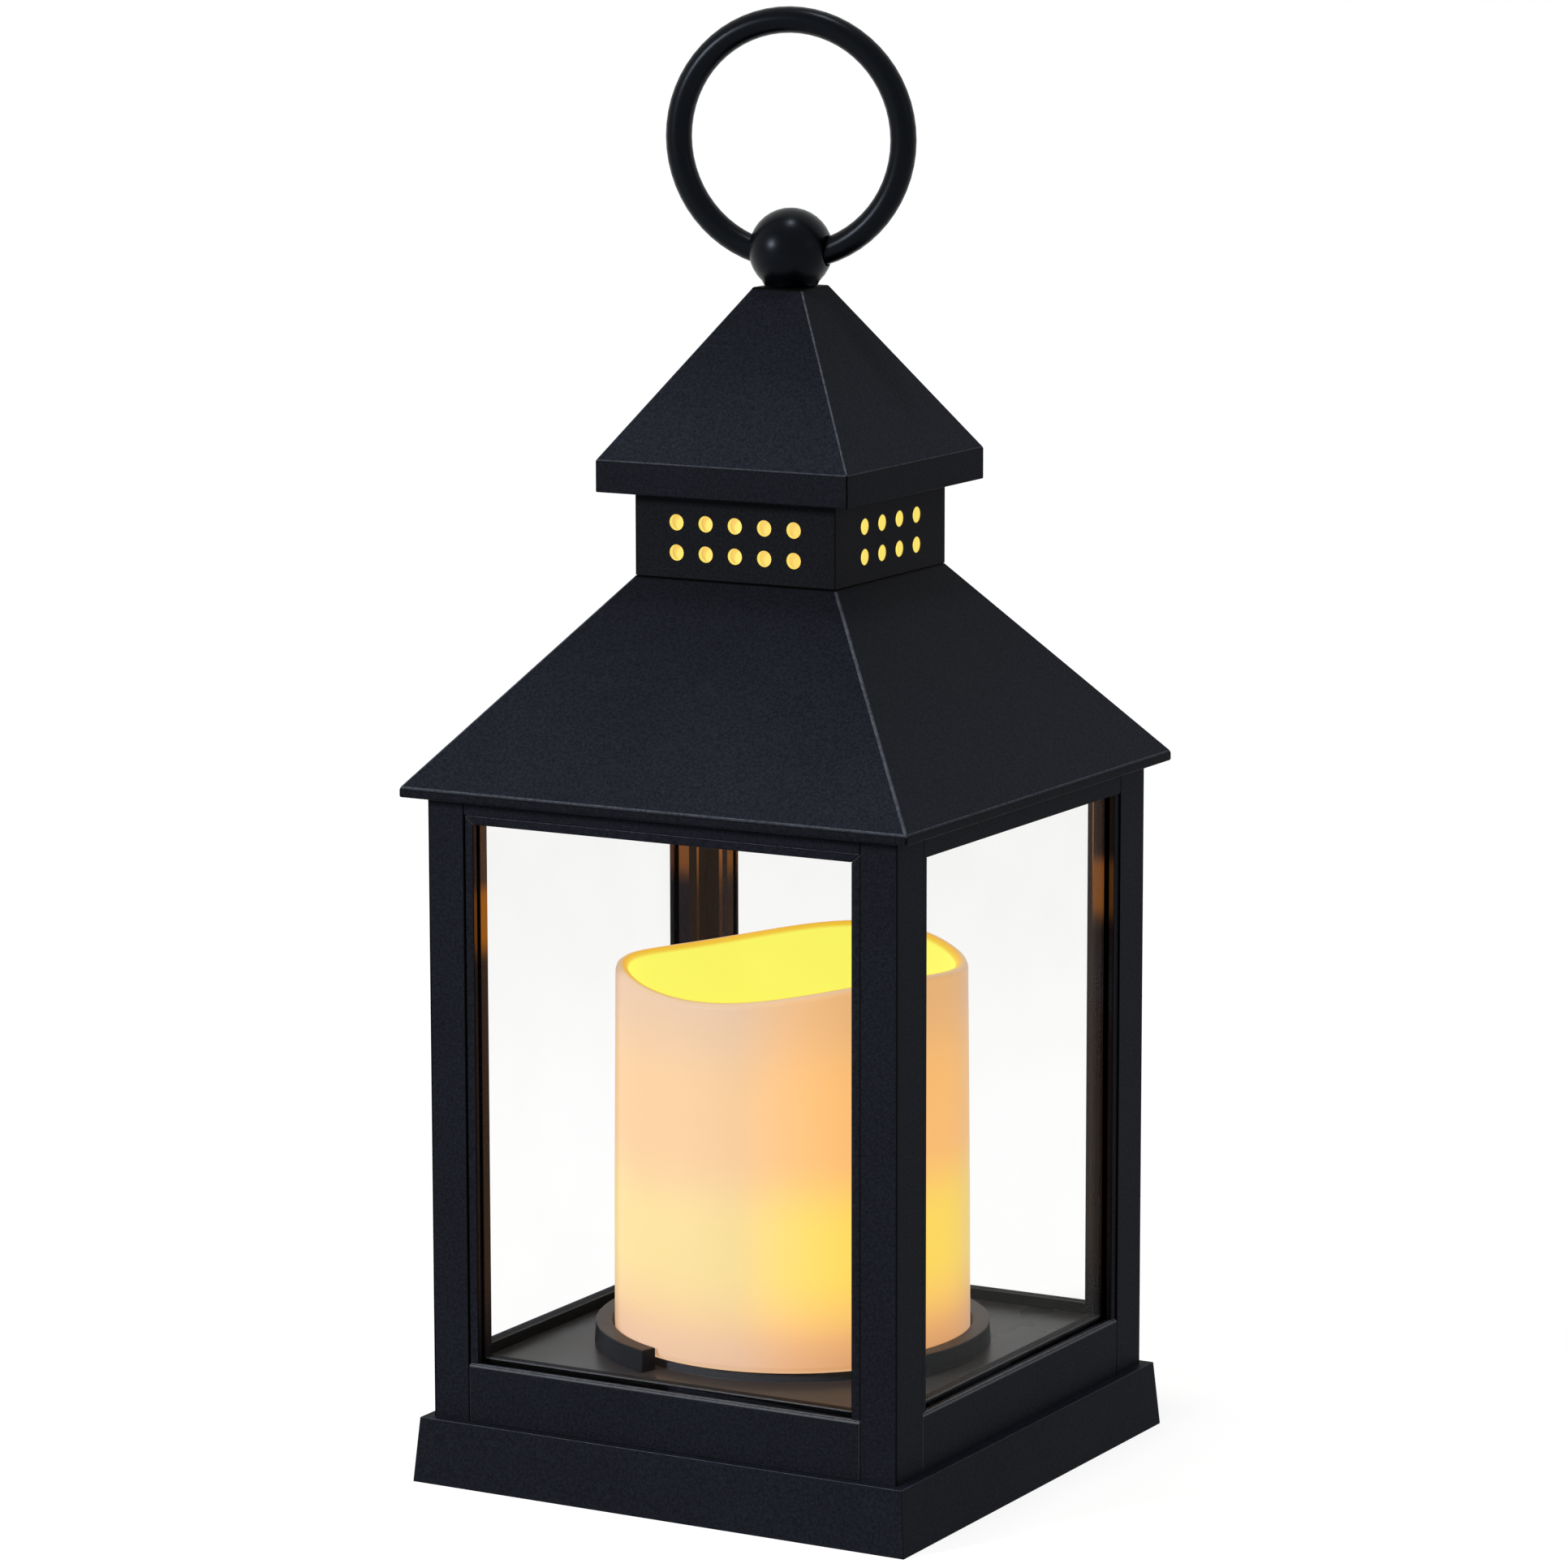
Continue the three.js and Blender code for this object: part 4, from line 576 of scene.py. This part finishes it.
def floor_plastic(name, grain, tone, roughness, candle_tint):
    """The smoother dark grey of the floor or the collar, with the candle's light painted brown on its
    upper side close to it.
    """
    material, tree, shader = start_finish(name)
    surface = place_group(
        tree, grain, Colour=colour(tone), Roughness=roughness, Grains=1300.0, Speckle=0.12, Mottle=0.06
    )
    coordinates = tree.nodes.new("ShaderNodeTexCoord")
    reach = vector_step(
        tree, "LENGTH", vector_step(tree, "MULTIPLY", coordinates.outputs["Object"], (1.0, 1.0, 0.0))
    )
    upward = split(tree, coordinates.outputs["Normal"])[2]
    by_candle = fade(tree, reach, FLOOR_GLOW_FAR, FLOOR_GLOW_NEAR)
    near = calculate(tree, "MULTIPLY", by_candle, fade(tree, upward, 0.5, 0.95))
    near = calculate(tree, "MULTIPLY", near, candle_tint)
    # Painted light: the candle's light browns the upper faces close to it and glows faintly there
    shown = mixed(tree, near, surface["Colour"], colour(CANDLE_LIT_FLOOR_TONE))
    lit = mixed(tree, near, UNLIT, FLOOR_GLOW)
    connect(tree, shown, shader.inputs["Base Color"])
    connect(tree, lit, shader.inputs["Emission Color"])
    shader.inputs["Emission Strength"].default_value = 1.0
    connect(tree, surface["Roughness"], shader.inputs["Roughness"])
    shader.inputs["Specular IOR Level"].default_value = 0.06
    return material


def clear_pane():
    """Clear moulded plastic with faint ripples and haze."""
    material, tree, shader = start_finish("clear_pane")
    place = position(tree)
    haze = fade(tree, noise(tree, place, 60.0, 3.0), 0.35, 0.8)
    high = fade(tree, split(tree, place)[2], 60 * MM, 130 * MM)
    clearest = mixed(tree, high, *PANE_CLEAR)
    haziest = mixed(tree, high, *PANE_HAZY)
    connect(tree, mixed(tree, haze, clearest, haziest), shader.inputs["Base Color"])
    connect(tree, scaled(tree, haze, 0.0, 0.03), shader.inputs["Roughness"])
    connect(tree, bumped(tree, noise(tree, place, 22.0, 1.0), 0.02 * MM, 0.3), shader.inputs["Normal"])
    shader.inputs["Transmission Weight"].default_value = 1.0
    shader.inputs["IOR"].default_value = PANE_INDEX
    path = tree.nodes.new("ShaderNodeLightPath")
    passing = calculate(tree, "MAXIMUM", path.outputs["Is Shadow Ray"], path.outputs["Is Diffuse Ray"])
    let_through(tree, shader, passing, PANE_SHADOW)
    return material


def candle_wax():
    """Wax-like plastic lit from inside, with a yellow bowl, an orange lip and a glow round the lamp."""
    material, tree, shader = start_finish("candle_wax")
    coordinates = tree.nodes.new("ShaderNodeTexCoord")
    place = coordinates.outputs["Object"]
    x, y, height = split(tree, place)
    outward = vector_step(tree, "NORMALIZE", vector_step(tree, "MULTIPLY", place, (1.0, 1.0, 0.0)))
    facing_out = vector_step(tree, "DOT_PRODUCT", outward, coordinates.outputs["Normal"])

    # How far round towards the front right post, where the wax glows a deeper orange
    deepest = math.radians(DEEP_ORANGE_DEG)
    towards = vector_step(tree, "DOT_PRODUCT", outward, (math.sin(deepest), -math.cos(deepest), 0.0))
    corner = fade(tree, towards, 0.6, 0.93)

    # The outside, from the foot up to the glow of the lamp and on to the lip
    foot = fade(tree, height, CANDLE_FOOT, CANDLE_FOOT + 14 * MM)
    band = calculate(
        tree, "MULTIPLY",
        fade(tree, height, LED_HEIGHT - 20 * MM, LED_HEIGHT - 4 * MM),
        fade(tree, height, LED_HEIGHT + 19 * MM, LED_HEIGHT + 3 * MM),
    )
    top = fade(tree, height, 80 * MM, 98 * MM)
    side_glow = mixed(tree, corner, *SIDE_GLOW)
    band_glow = mixed(tree, corner, *BAND_GLOW)
    foot_glow = mixed(tree, corner, *FOOT_GLOW)
    top_glow = mixed(tree, corner, *TOP_GLOW)
    glow = mixed(tree, foot, foot_glow, side_glow)
    glow = mixed(tree, band, glow, band_glow)
    glow = mixed(tree, top, glow, top_glow)
    foot_line = fade(tree, height, CANDLE_FOOT + 1.2 * MM, CANDLE_FOOT + 0.4 * MM)
    glow = mixed(tree, calculate(tree, "MULTIPLY", foot_line, 0.5), glow, FOOT_LINE_GLOW)

    # The lip: a pale crown, an orange line that follows the wavy rim and the bright bowl below it
    high = fade(tree, height, LIP_LOW, LIP_HIGH)
    round_by = calculate(tree, "ARCTAN2", x, calculate(tree, "MULTIPLY", y, -1.0))
    from_lean = calculate(tree, "SUBTRACT", round_by, math.radians(RIM_LEAN_DEG))
    from_wave = calculate(tree, "SUBTRACT", round_by, math.radians(RIM_WAVE_DEG))
    lean = calculate(tree, "COSINE", from_lean)
    wave = calculate(tree, "COSINE", calculate(tree, "MULTIPLY", from_wave, 3.0))
    rim = calculate(tree, "MULTIPLY_ADD", lean, RIM_LEAN, RIM_MEAN)
    rim = calculate(tree, "MULTIPLY_ADD", wave, RIM_WAVE, rim)
    below_rim = calculate(tree, "SUBTRACT", rim, height)
    near_rim = fade(tree, below_rim, 1.3 * MM, 0.5 * MM)
    crown = calculate(tree, "MULTIPLY", fade(tree, facing_out, 0.9, 0.5), high)
    orange = calculate(tree, "MULTIPLY", fade(tree, facing_out, 0.2, -0.2), high)
    bowl = calculate(tree, "MULTIPLY", fade(tree, facing_out, -0.2, -0.75), high)
    glow = mixed(tree, crown, glow, CROWN_GLOW)
    glow = mixed(tree, orange, glow, LIP_GLOW)
    glow = mixed(tree, bowl, glow, mixed(tree, near_rim, BOWL_GLOW, BOWL_RIM_GLOW))
    wax = mixed(tree, orange, (0.50, 0.42, 0.34, 1.0), (0.30, 0.20, 0.08, 1.0))
    wax = mixed(tree, bowl, wax, (0.12, 0.11, 0.04, 1.0))
    cloud = noise(tree, place, 70.0, 3.0)
    wax = mixed(tree, 1.0, wax, mixed(tree, cloud, (0.94, 0.94, 0.94, 1.0), WHITE), "MULTIPLY")
    connect(tree, wax, shader.inputs["Base Color"])
    connect(tree, glow, shader.inputs["Emission Color"])
    shader.inputs["Emission Strength"].default_value = 1.0
    connect(tree, scaled(tree, cloud, 0.42, 0.55), shader.inputs["Roughness"])
    connect(tree, bumped(tree, noise(tree, place, 420.0, 2.0), 0.08 * MM, 0.25), shader.inputs["Normal"])
    shader.inputs["Specular IOR Level"].default_value = 0.1
    return material


def glowing_sleeve():
    """The lit yellow diffuser behind the chimney's holes, its glow painted brighter and yellower on the
    faces along x.
    """
    material, tree, shader = start_finish("yellow_sleeve")
    coordinates = tree.nodes.new("ShaderNodeTexCoord")
    cloud = noise(tree, coordinates.outputs["Object"], 160.0, 2.0)
    sideways = split(tree, coordinates.outputs["Normal"])[0]
    to_side = fade(tree, calculate(tree, "ABSOLUTE", sideways), 0.5, 0.9)
    lit = mixed(tree, to_side, SLEEVE_FRONT, SLEEVE_SIDE)
    lit = mixed(tree, 1.0, lit, mixed(tree, cloud, (0.96, 0.96, 0.96, 1.0), WHITE), "MULTIPLY")
    connect(tree, mixed(tree, cloud, colour("b8973a"), colour("c09f42")), shader.inputs["Base Color"])
    connect(tree, lit, shader.inputs["Emission Color"])
    shader.inputs["Emission Strength"].default_value = 1.0
    shader.inputs["Roughness"].default_value = 0.6
    return material


def pale_plastic(grain):
    """The plain pale plastic of the lamp's pillar."""
    material, tree, shader = start_finish("lamp_plastic")
    surface = place_group(
        tree, grain, Colour=colour("e9e4da"), Roughness=0.45, Grains=900.0, Speckle=0.03, Mottle=0.03
    )
    connect(tree, surface["Colour"], shader.inputs["Base Color"])
    connect(tree, surface["Roughness"], shader.inputs["Roughness"])
    connect(tree, bumped(tree, surface["Height"], 0.03 * MM, 0.3), shader.inputs["Normal"])
    return material


def circuit_board(grain):
    """Green lacquer over a fine weave."""
    material, tree, shader = start_finish("circuit_board")
    weave = tree.nodes.new("ShaderNodeTexChecker")
    tree.links.new(position(tree), weave.inputs["Vector"])
    weave.inputs["Scale"].default_value = 2600.0
    lacquer = mixed(tree, weave.outputs["Fac"], colour("2c6b3e"), colour("276036"))
    surface = place_group(
        tree, grain, Colour=lacquer, Roughness=0.3, Grains=700.0, Speckle=0.05, Mottle=0.06
    )
    connect(tree, surface["Colour"], shader.inputs["Base Color"])
    connect(tree, surface["Roughness"], shader.inputs["Roughness"])
    connect(tree, bumped(tree, weave.outputs["Fac"], 0.02 * MM, 0.3), shader.inputs["Normal"])
    return material


def amber_lens():
    """The lamp's clear amber body, brightest at its tip."""
    material, tree, shader = start_finish("amber_led")
    height = split(tree, position(tree))[2]
    tip = fade(tree, height, LENS_FOOT, LENS_TIP)
    connect(tree, mixed(tree, tip, colour("f2a83c"), colour("ffd88a")), shader.inputs["Base Color"])
    lit = mixed(tree, tip, (0.55, 0.25, 0.05, 1.0), (1.0, 0.72, 0.28, 1.0))
    connect(tree, lit, shader.inputs["Emission Color"])
    shader.inputs["Emission Strength"].default_value = 2.0
    shader.inputs["Roughness"].default_value = 0.18
    return material


def brushed_steel(name, tone, gloss):
    """Plated steel with fine drawn lines."""
    material, tree, shader = start_finish(name)
    stretch = tree.nodes.new("ShaderNodeMapping")
    tree.links.new(position(tree), stretch.inputs["Vector"])
    stretch.inputs["Scale"].default_value = (1.0, 14.0, 1.0)
    lines = noise(tree, stretch.outputs["Vector"], 420.0, 3.0, 0.6)
    bright = colour(tone)
    dull = [part * 0.82 for part in bright[:3]] + [1.0]
    connect(tree, mixed(tree, lines, dull, bright), shader.inputs["Base Color"])
    connect(tree, scaled(tree, lines, gloss, gloss + 0.14), shader.inputs["Roughness"])
    connect(tree, bumped(tree, lines, 0.01 * MM, 0.3), shader.inputs["Normal"])
    shader.inputs["Metallic"].default_value = 1.0
    return material


def battery_wrap(grain):
    """A shrunk plastic sleeve in plain blue with a silver band near each metal end."""
    material, tree, shader = start_finish("battery_wrap")
    along = calculate(tree, "ABSOLUTE", split(tree, position(tree))[0])
    cap = calculate(tree, "GREATER_THAN", along, CELL_WRAP_END)
    band = calculate(
        tree, "MULTIPLY",
        calculate(tree, "GREATER_THAN", along, CELL_BAND_START),
        calculate(tree, "LESS_THAN", along, CELL_BAND_END),
    )
    bare = calculate(tree, "MAXIMUM", cap, band)
    surface = place_group(
        tree, grain, Colour=colour("3f708e"), Roughness=0.34, Grains=600.0, Speckle=0.04, Mottle=0.06
    )
    connect(tree, mixed(tree, bare, surface["Colour"], colour("c9cbcc")), shader.inputs["Base Color"])
    connect(tree, calculate(tree, "MULTIPLY", bare, 0.9), shader.inputs["Metallic"])
    connect(tree, surface["Roughness"], shader.inputs["Roughness"])
    connect(tree, bumped(tree, surface["Height"], 0.03 * MM, 0.3), shader.inputs["Normal"])
    return material


# Dressing the nodes


def dress(frame, node, materials, rounding=0.0, segments=2):
    """Gives a node its materials, smooth shading and edges rounded by so many millimetres.

    A second material goes on the rounded edges.
    """
    piece = frame["nodes"][node]
    mesh = piece.data
    mesh.materials.clear()
    for material in materials:
        mesh.materials.append(material)
    for face in mesh.polygons:
        face.use_smooth = True
        face.material_index = 0
    weld = piece.modifiers.new("weld", "WELD")
    weld.merge_threshold = WELD_WITHIN
    if rounding:
        flats = piece.modifiers.new("flat faces", "DECIMATE")
        flats.decimate_type = "DISSOLVE"
        flats.angle_limit = math.radians(FLAT_WITHIN_DEG)
        bevel = piece.modifiers.new("rounded edges", "BEVEL")
        bevel.width = rounding * MM
        bevel.segments = segments
        bevel.limit_method = "ANGLE"
        bevel.angle_limit = math.radians(EDGE_FROM_DEG)
        bevel.profile = 0.5
        bevel.use_clamp_overlap = True
        bevel.miter_outer = "MITER_ARC"
        if len(materials) > 1:
            bevel.material = 1
    even = piece.modifiers.new("even shading", "WEIGHTED_NORMAL")
    even.weight = 80
    even.keep_sharp = False


def dress_lantern(frame):
    """Each node with its own finish and its own roundness."""
    grain = moulded_grain()
    edge = worn_and_lit_edge()
    glow = candle_light()
    black = black_plastic("black_plastic", grain)
    black_edge = black_plastic("black_plastic_edge", grain, edge)
    frame_black = black_plastic("frame_plastic", grain, None, glow, corner=BODY_HALF)
    frame_edge = black_plastic("frame_plastic_edge", grain, edge, glow, corner=BODY_HALF)
    sill_edge = black_plastic("sill_edge", grain, edge, gloss=0.3)
    roof = black_plastic("roof_plastic", grain, heights=(ROOF_LOW, ROOF_HIGH))
    roof_edge = black_plastic("roof_plastic_edge", grain, edge, heights=(ROOF_LOW, ROOF_HIGH))
    cap = black_plastic("cap_plastic", grain, heights=(CAP_LOW, CAP_HIGH), corner=CAP_HALF)
    cap_edge = black_plastic("cap_plastic_edge", grain, edge, heights=(CAP_LOW, CAP_HIGH), corner=CAP_HALF)
    chimney = chimney_plastic(grain, edge)
    satin = satin_black(grain)
    dark_floor = floor_plastic("dark_floor_plastic", grain, FLOOR_TONE, 0.28, 0.35)
    collar = floor_plastic("collar_plastic", grain, COLLAR_TONE, 0.4, 0.7)
    pane = clear_pane()
    wax = candle_wax()
    sleeve = glowing_sleeve()
    pale = pale_plastic(grain)
    board = circuit_board(grain)
    amber = amber_lens()
    spring = brushed_steel("spring_steel", "d6d7d6", 0.22)
    screw = brushed_steel("screw_steel", "c2c4c6", 0.26)
    wrap = battery_wrap(grain)

    sides = ("front", "back", "right", "left")
    corners = ("front_left", "front_right", "back_right", "back_left")
    dress(frame, "base_plinth", [black, black_edge], 0.35, 3)
    dress(frame, "base_cover", [black, black_edge], 0.3)
    dress(frame, "floor_plate", [dark_floor], 0.5, 3)
    dress(frame, "candle_collar", [collar], 0.3, 3)
    for corner in corners:
        dress(frame, "base_screw_" + corner, [screw], 0.12)
        dress(frame, "post_" + corner, [frame_black, frame_edge], 0.3)
    for side in sides:
        dress(frame, "bottom_rail_" + side, [black, sill_edge], 0.25)
        dress(frame, "top_rail_" + side, [black, black_edge], 0.22)
        dress(frame, "pane_" + side, [pane])
        dress(frame, "bead_" + side + "_a", [frame_black, frame_edge], 0.25)
        dress(frame, "bead_" + side + "_b", [frame_black, frame_edge], 0.25)
    dress(frame, "bead_front_top", [frame_black, frame_edge], 0.25)
    dress(frame, "bead_back_top", [frame_black, frame_edge], 0.25)
    dress(frame, "candle_shell", [wax])
    dress(frame, "lamp_pillar", [pale], 0.25)
    dress(frame, "lamp_board", [board], 0.1)
    dress(frame, "candle_led", [amber])
    dress(frame, "lower_roof", [roof, roof_edge], 0.4, 3)
    dress(frame, "chimney_box", [chimney], 0.2)
    dress(frame, "glow_sleeve", [sleeve])
    dress(frame, "cap_roof", [cap, cap_edge], 0.4, 3)
    dress(frame, "ring_ball", [satin], 0.35, 3)
    dress(frame, "carry_ring", [satin])
    dress(frame, "ball_screw", [screw], 0.12)
    dress(frame, "ball_washer", [screw], 0.1)
    dress(frame, "battery_box", [black, black_edge], 0.2)
    dress(frame, "battery_door", [black, black_edge], 0.25)
    for cell in ("front", "middle", "back"):
        dress(frame, "battery_" + cell, [wrap])
    for contact in ("plus", "bridge_right", "bridge_left", "minus"):
        dress(frame, "contact_" + contact, [spring])
    dress(frame, "switch_body", [black, black_edge], 0.2)
    dress(frame, "switch_knob", [black, black_edge], 0.2)


# The studio


def place_camera():
    """The camera at the photograph's angle."""
    around = math.radians(CAMERA_AROUND_DEG)
    data = bpy.data.cameras.new("camera")
    data.sensor_width = SENSOR_WIDTH
    data.lens = FOCAL_PIXELS / IMAGE_SIZE * SENSOR_WIDTH
    data.clip_start = 0.05
    data.clip_end = 30.0
    camera = bpy.data.objects.new("camera", data)
    place = Vector((
        CAMERA_DISTANCE * math.sin(around),
        -CAMERA_DISTANCE * math.cos(around),
        CAMERA_HEIGHT,
    ))
    camera.matrix_world = (
        Matrix.Translation(place)
        @ Matrix.Rotation(around + math.radians(CAMERA_YAW_DEG), 4, "Z")
        @ Matrix.Rotation(math.radians(90 + CAMERA_PITCH_DEG), 4, "X")
        @ Matrix.Rotation(math.radians(CAMERA_ROLL_DEG), 4, "Z")
    )
    bpy.context.collection.objects.link(camera)
    bpy.context.scene.camera = camera


def seen_directly(tree):
    """1 for what is seen directly, in a reflection or through glass, and 0 for light on the object."""
    path = tree.nodes.new("ShaderNodeLightPath")
    seen = calculate(tree, "MAXIMUM", path.outputs["Is Camera Ray"], path.outputs["Is Glossy Ray"])
    return calculate(tree, "MAXIMUM", seen, path.outputs["Is Transmission Ray"])


def light_world():
    """White where it is seen, and a plain soft light where it lights the object."""
    world = bpy.data.worlds.new("studio")
    world.use_nodes = True
    tree = world.node_tree
    background = tree.nodes["Background"]
    seen = seen_directly(tree)
    connect(tree, mixed(tree, seen, (0.95, 0.975, 1.0, 1.0), WHITE), background.inputs["Color"])
    connect(tree, scaled(tree, seen, WORLD_LIGHT, 1.0), background.inputs["Strength"])
    bpy.context.scene.world = world


def lay_floor():
    """A wide pale floor that takes the lantern's soft shadow."""
    mesh = bpy.data.meshes.new("studio_floor")
    shape = bmesh.new()
    bmesh.ops.create_grid(shape, x_segments=1, y_segments=1, size=6.0)
    shape.to_mesh(mesh)
    shape.free()
    floor = bpy.data.objects.new("studio_floor", mesh)
    bpy.context.collection.objects.link(floor)
    material, tree, shader = start_finish("studio_floor")
    seen = seen_directly(tree)
    shader.inputs["Base Color"].default_value = (0.35, 0.35, 0.35, 1.0)
    shader.inputs["Roughness"].default_value = 0.7
    shader.inputs["Specular IOR Level"].default_value = 0.0
    shader.inputs["Emission Color"].default_value = WHITE
    reach = vector_step(tree, "LENGTH", position(tree))
    whiteness = scaled(tree, fade(tree, reach, 0.15, 1.0), FLOOR_SEEN_NEAR, FLOOR_SEEN_FAR)
    connect(tree, calculate(tree, "MULTIPLY", seen, whiteness), shader.inputs["Emission Strength"])
    from_below = tree.nodes.new("ShaderNodeNewGeometry").outputs["Backfacing"]
    let_through(tree, shader, from_below, WHITE)
    mesh.materials.append(material)


def hang_light(name, place, size, power):
    """A soft square light that looks at the middle of the lantern."""
    data = bpy.data.lights.new(name, "AREA")
    data.shape = "SQUARE"
    data.size = size
    data.energy = power
    light = bpy.data.objects.new(name, data)
    aim = Vector(LIGHTS_AIM) - Vector(place)
    light.matrix_world = Matrix.Translation(place) @ aim.to_track_quat("-Z", "Y").to_matrix().to_4x4()
    light.visible_camera = False
    light.visible_transmission = False
    bpy.context.collection.objects.link(light)


def main():
    """Builds the scene."""
    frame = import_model()
    bpy.context.scene.view_settings.view_transform = "Standard"
    place_camera()
    light_world()
    lay_floor()
    for name, place, size, power in LIGHTS:
        hang_light(name, place, size, power)
    dress_lantern(frame)


main()
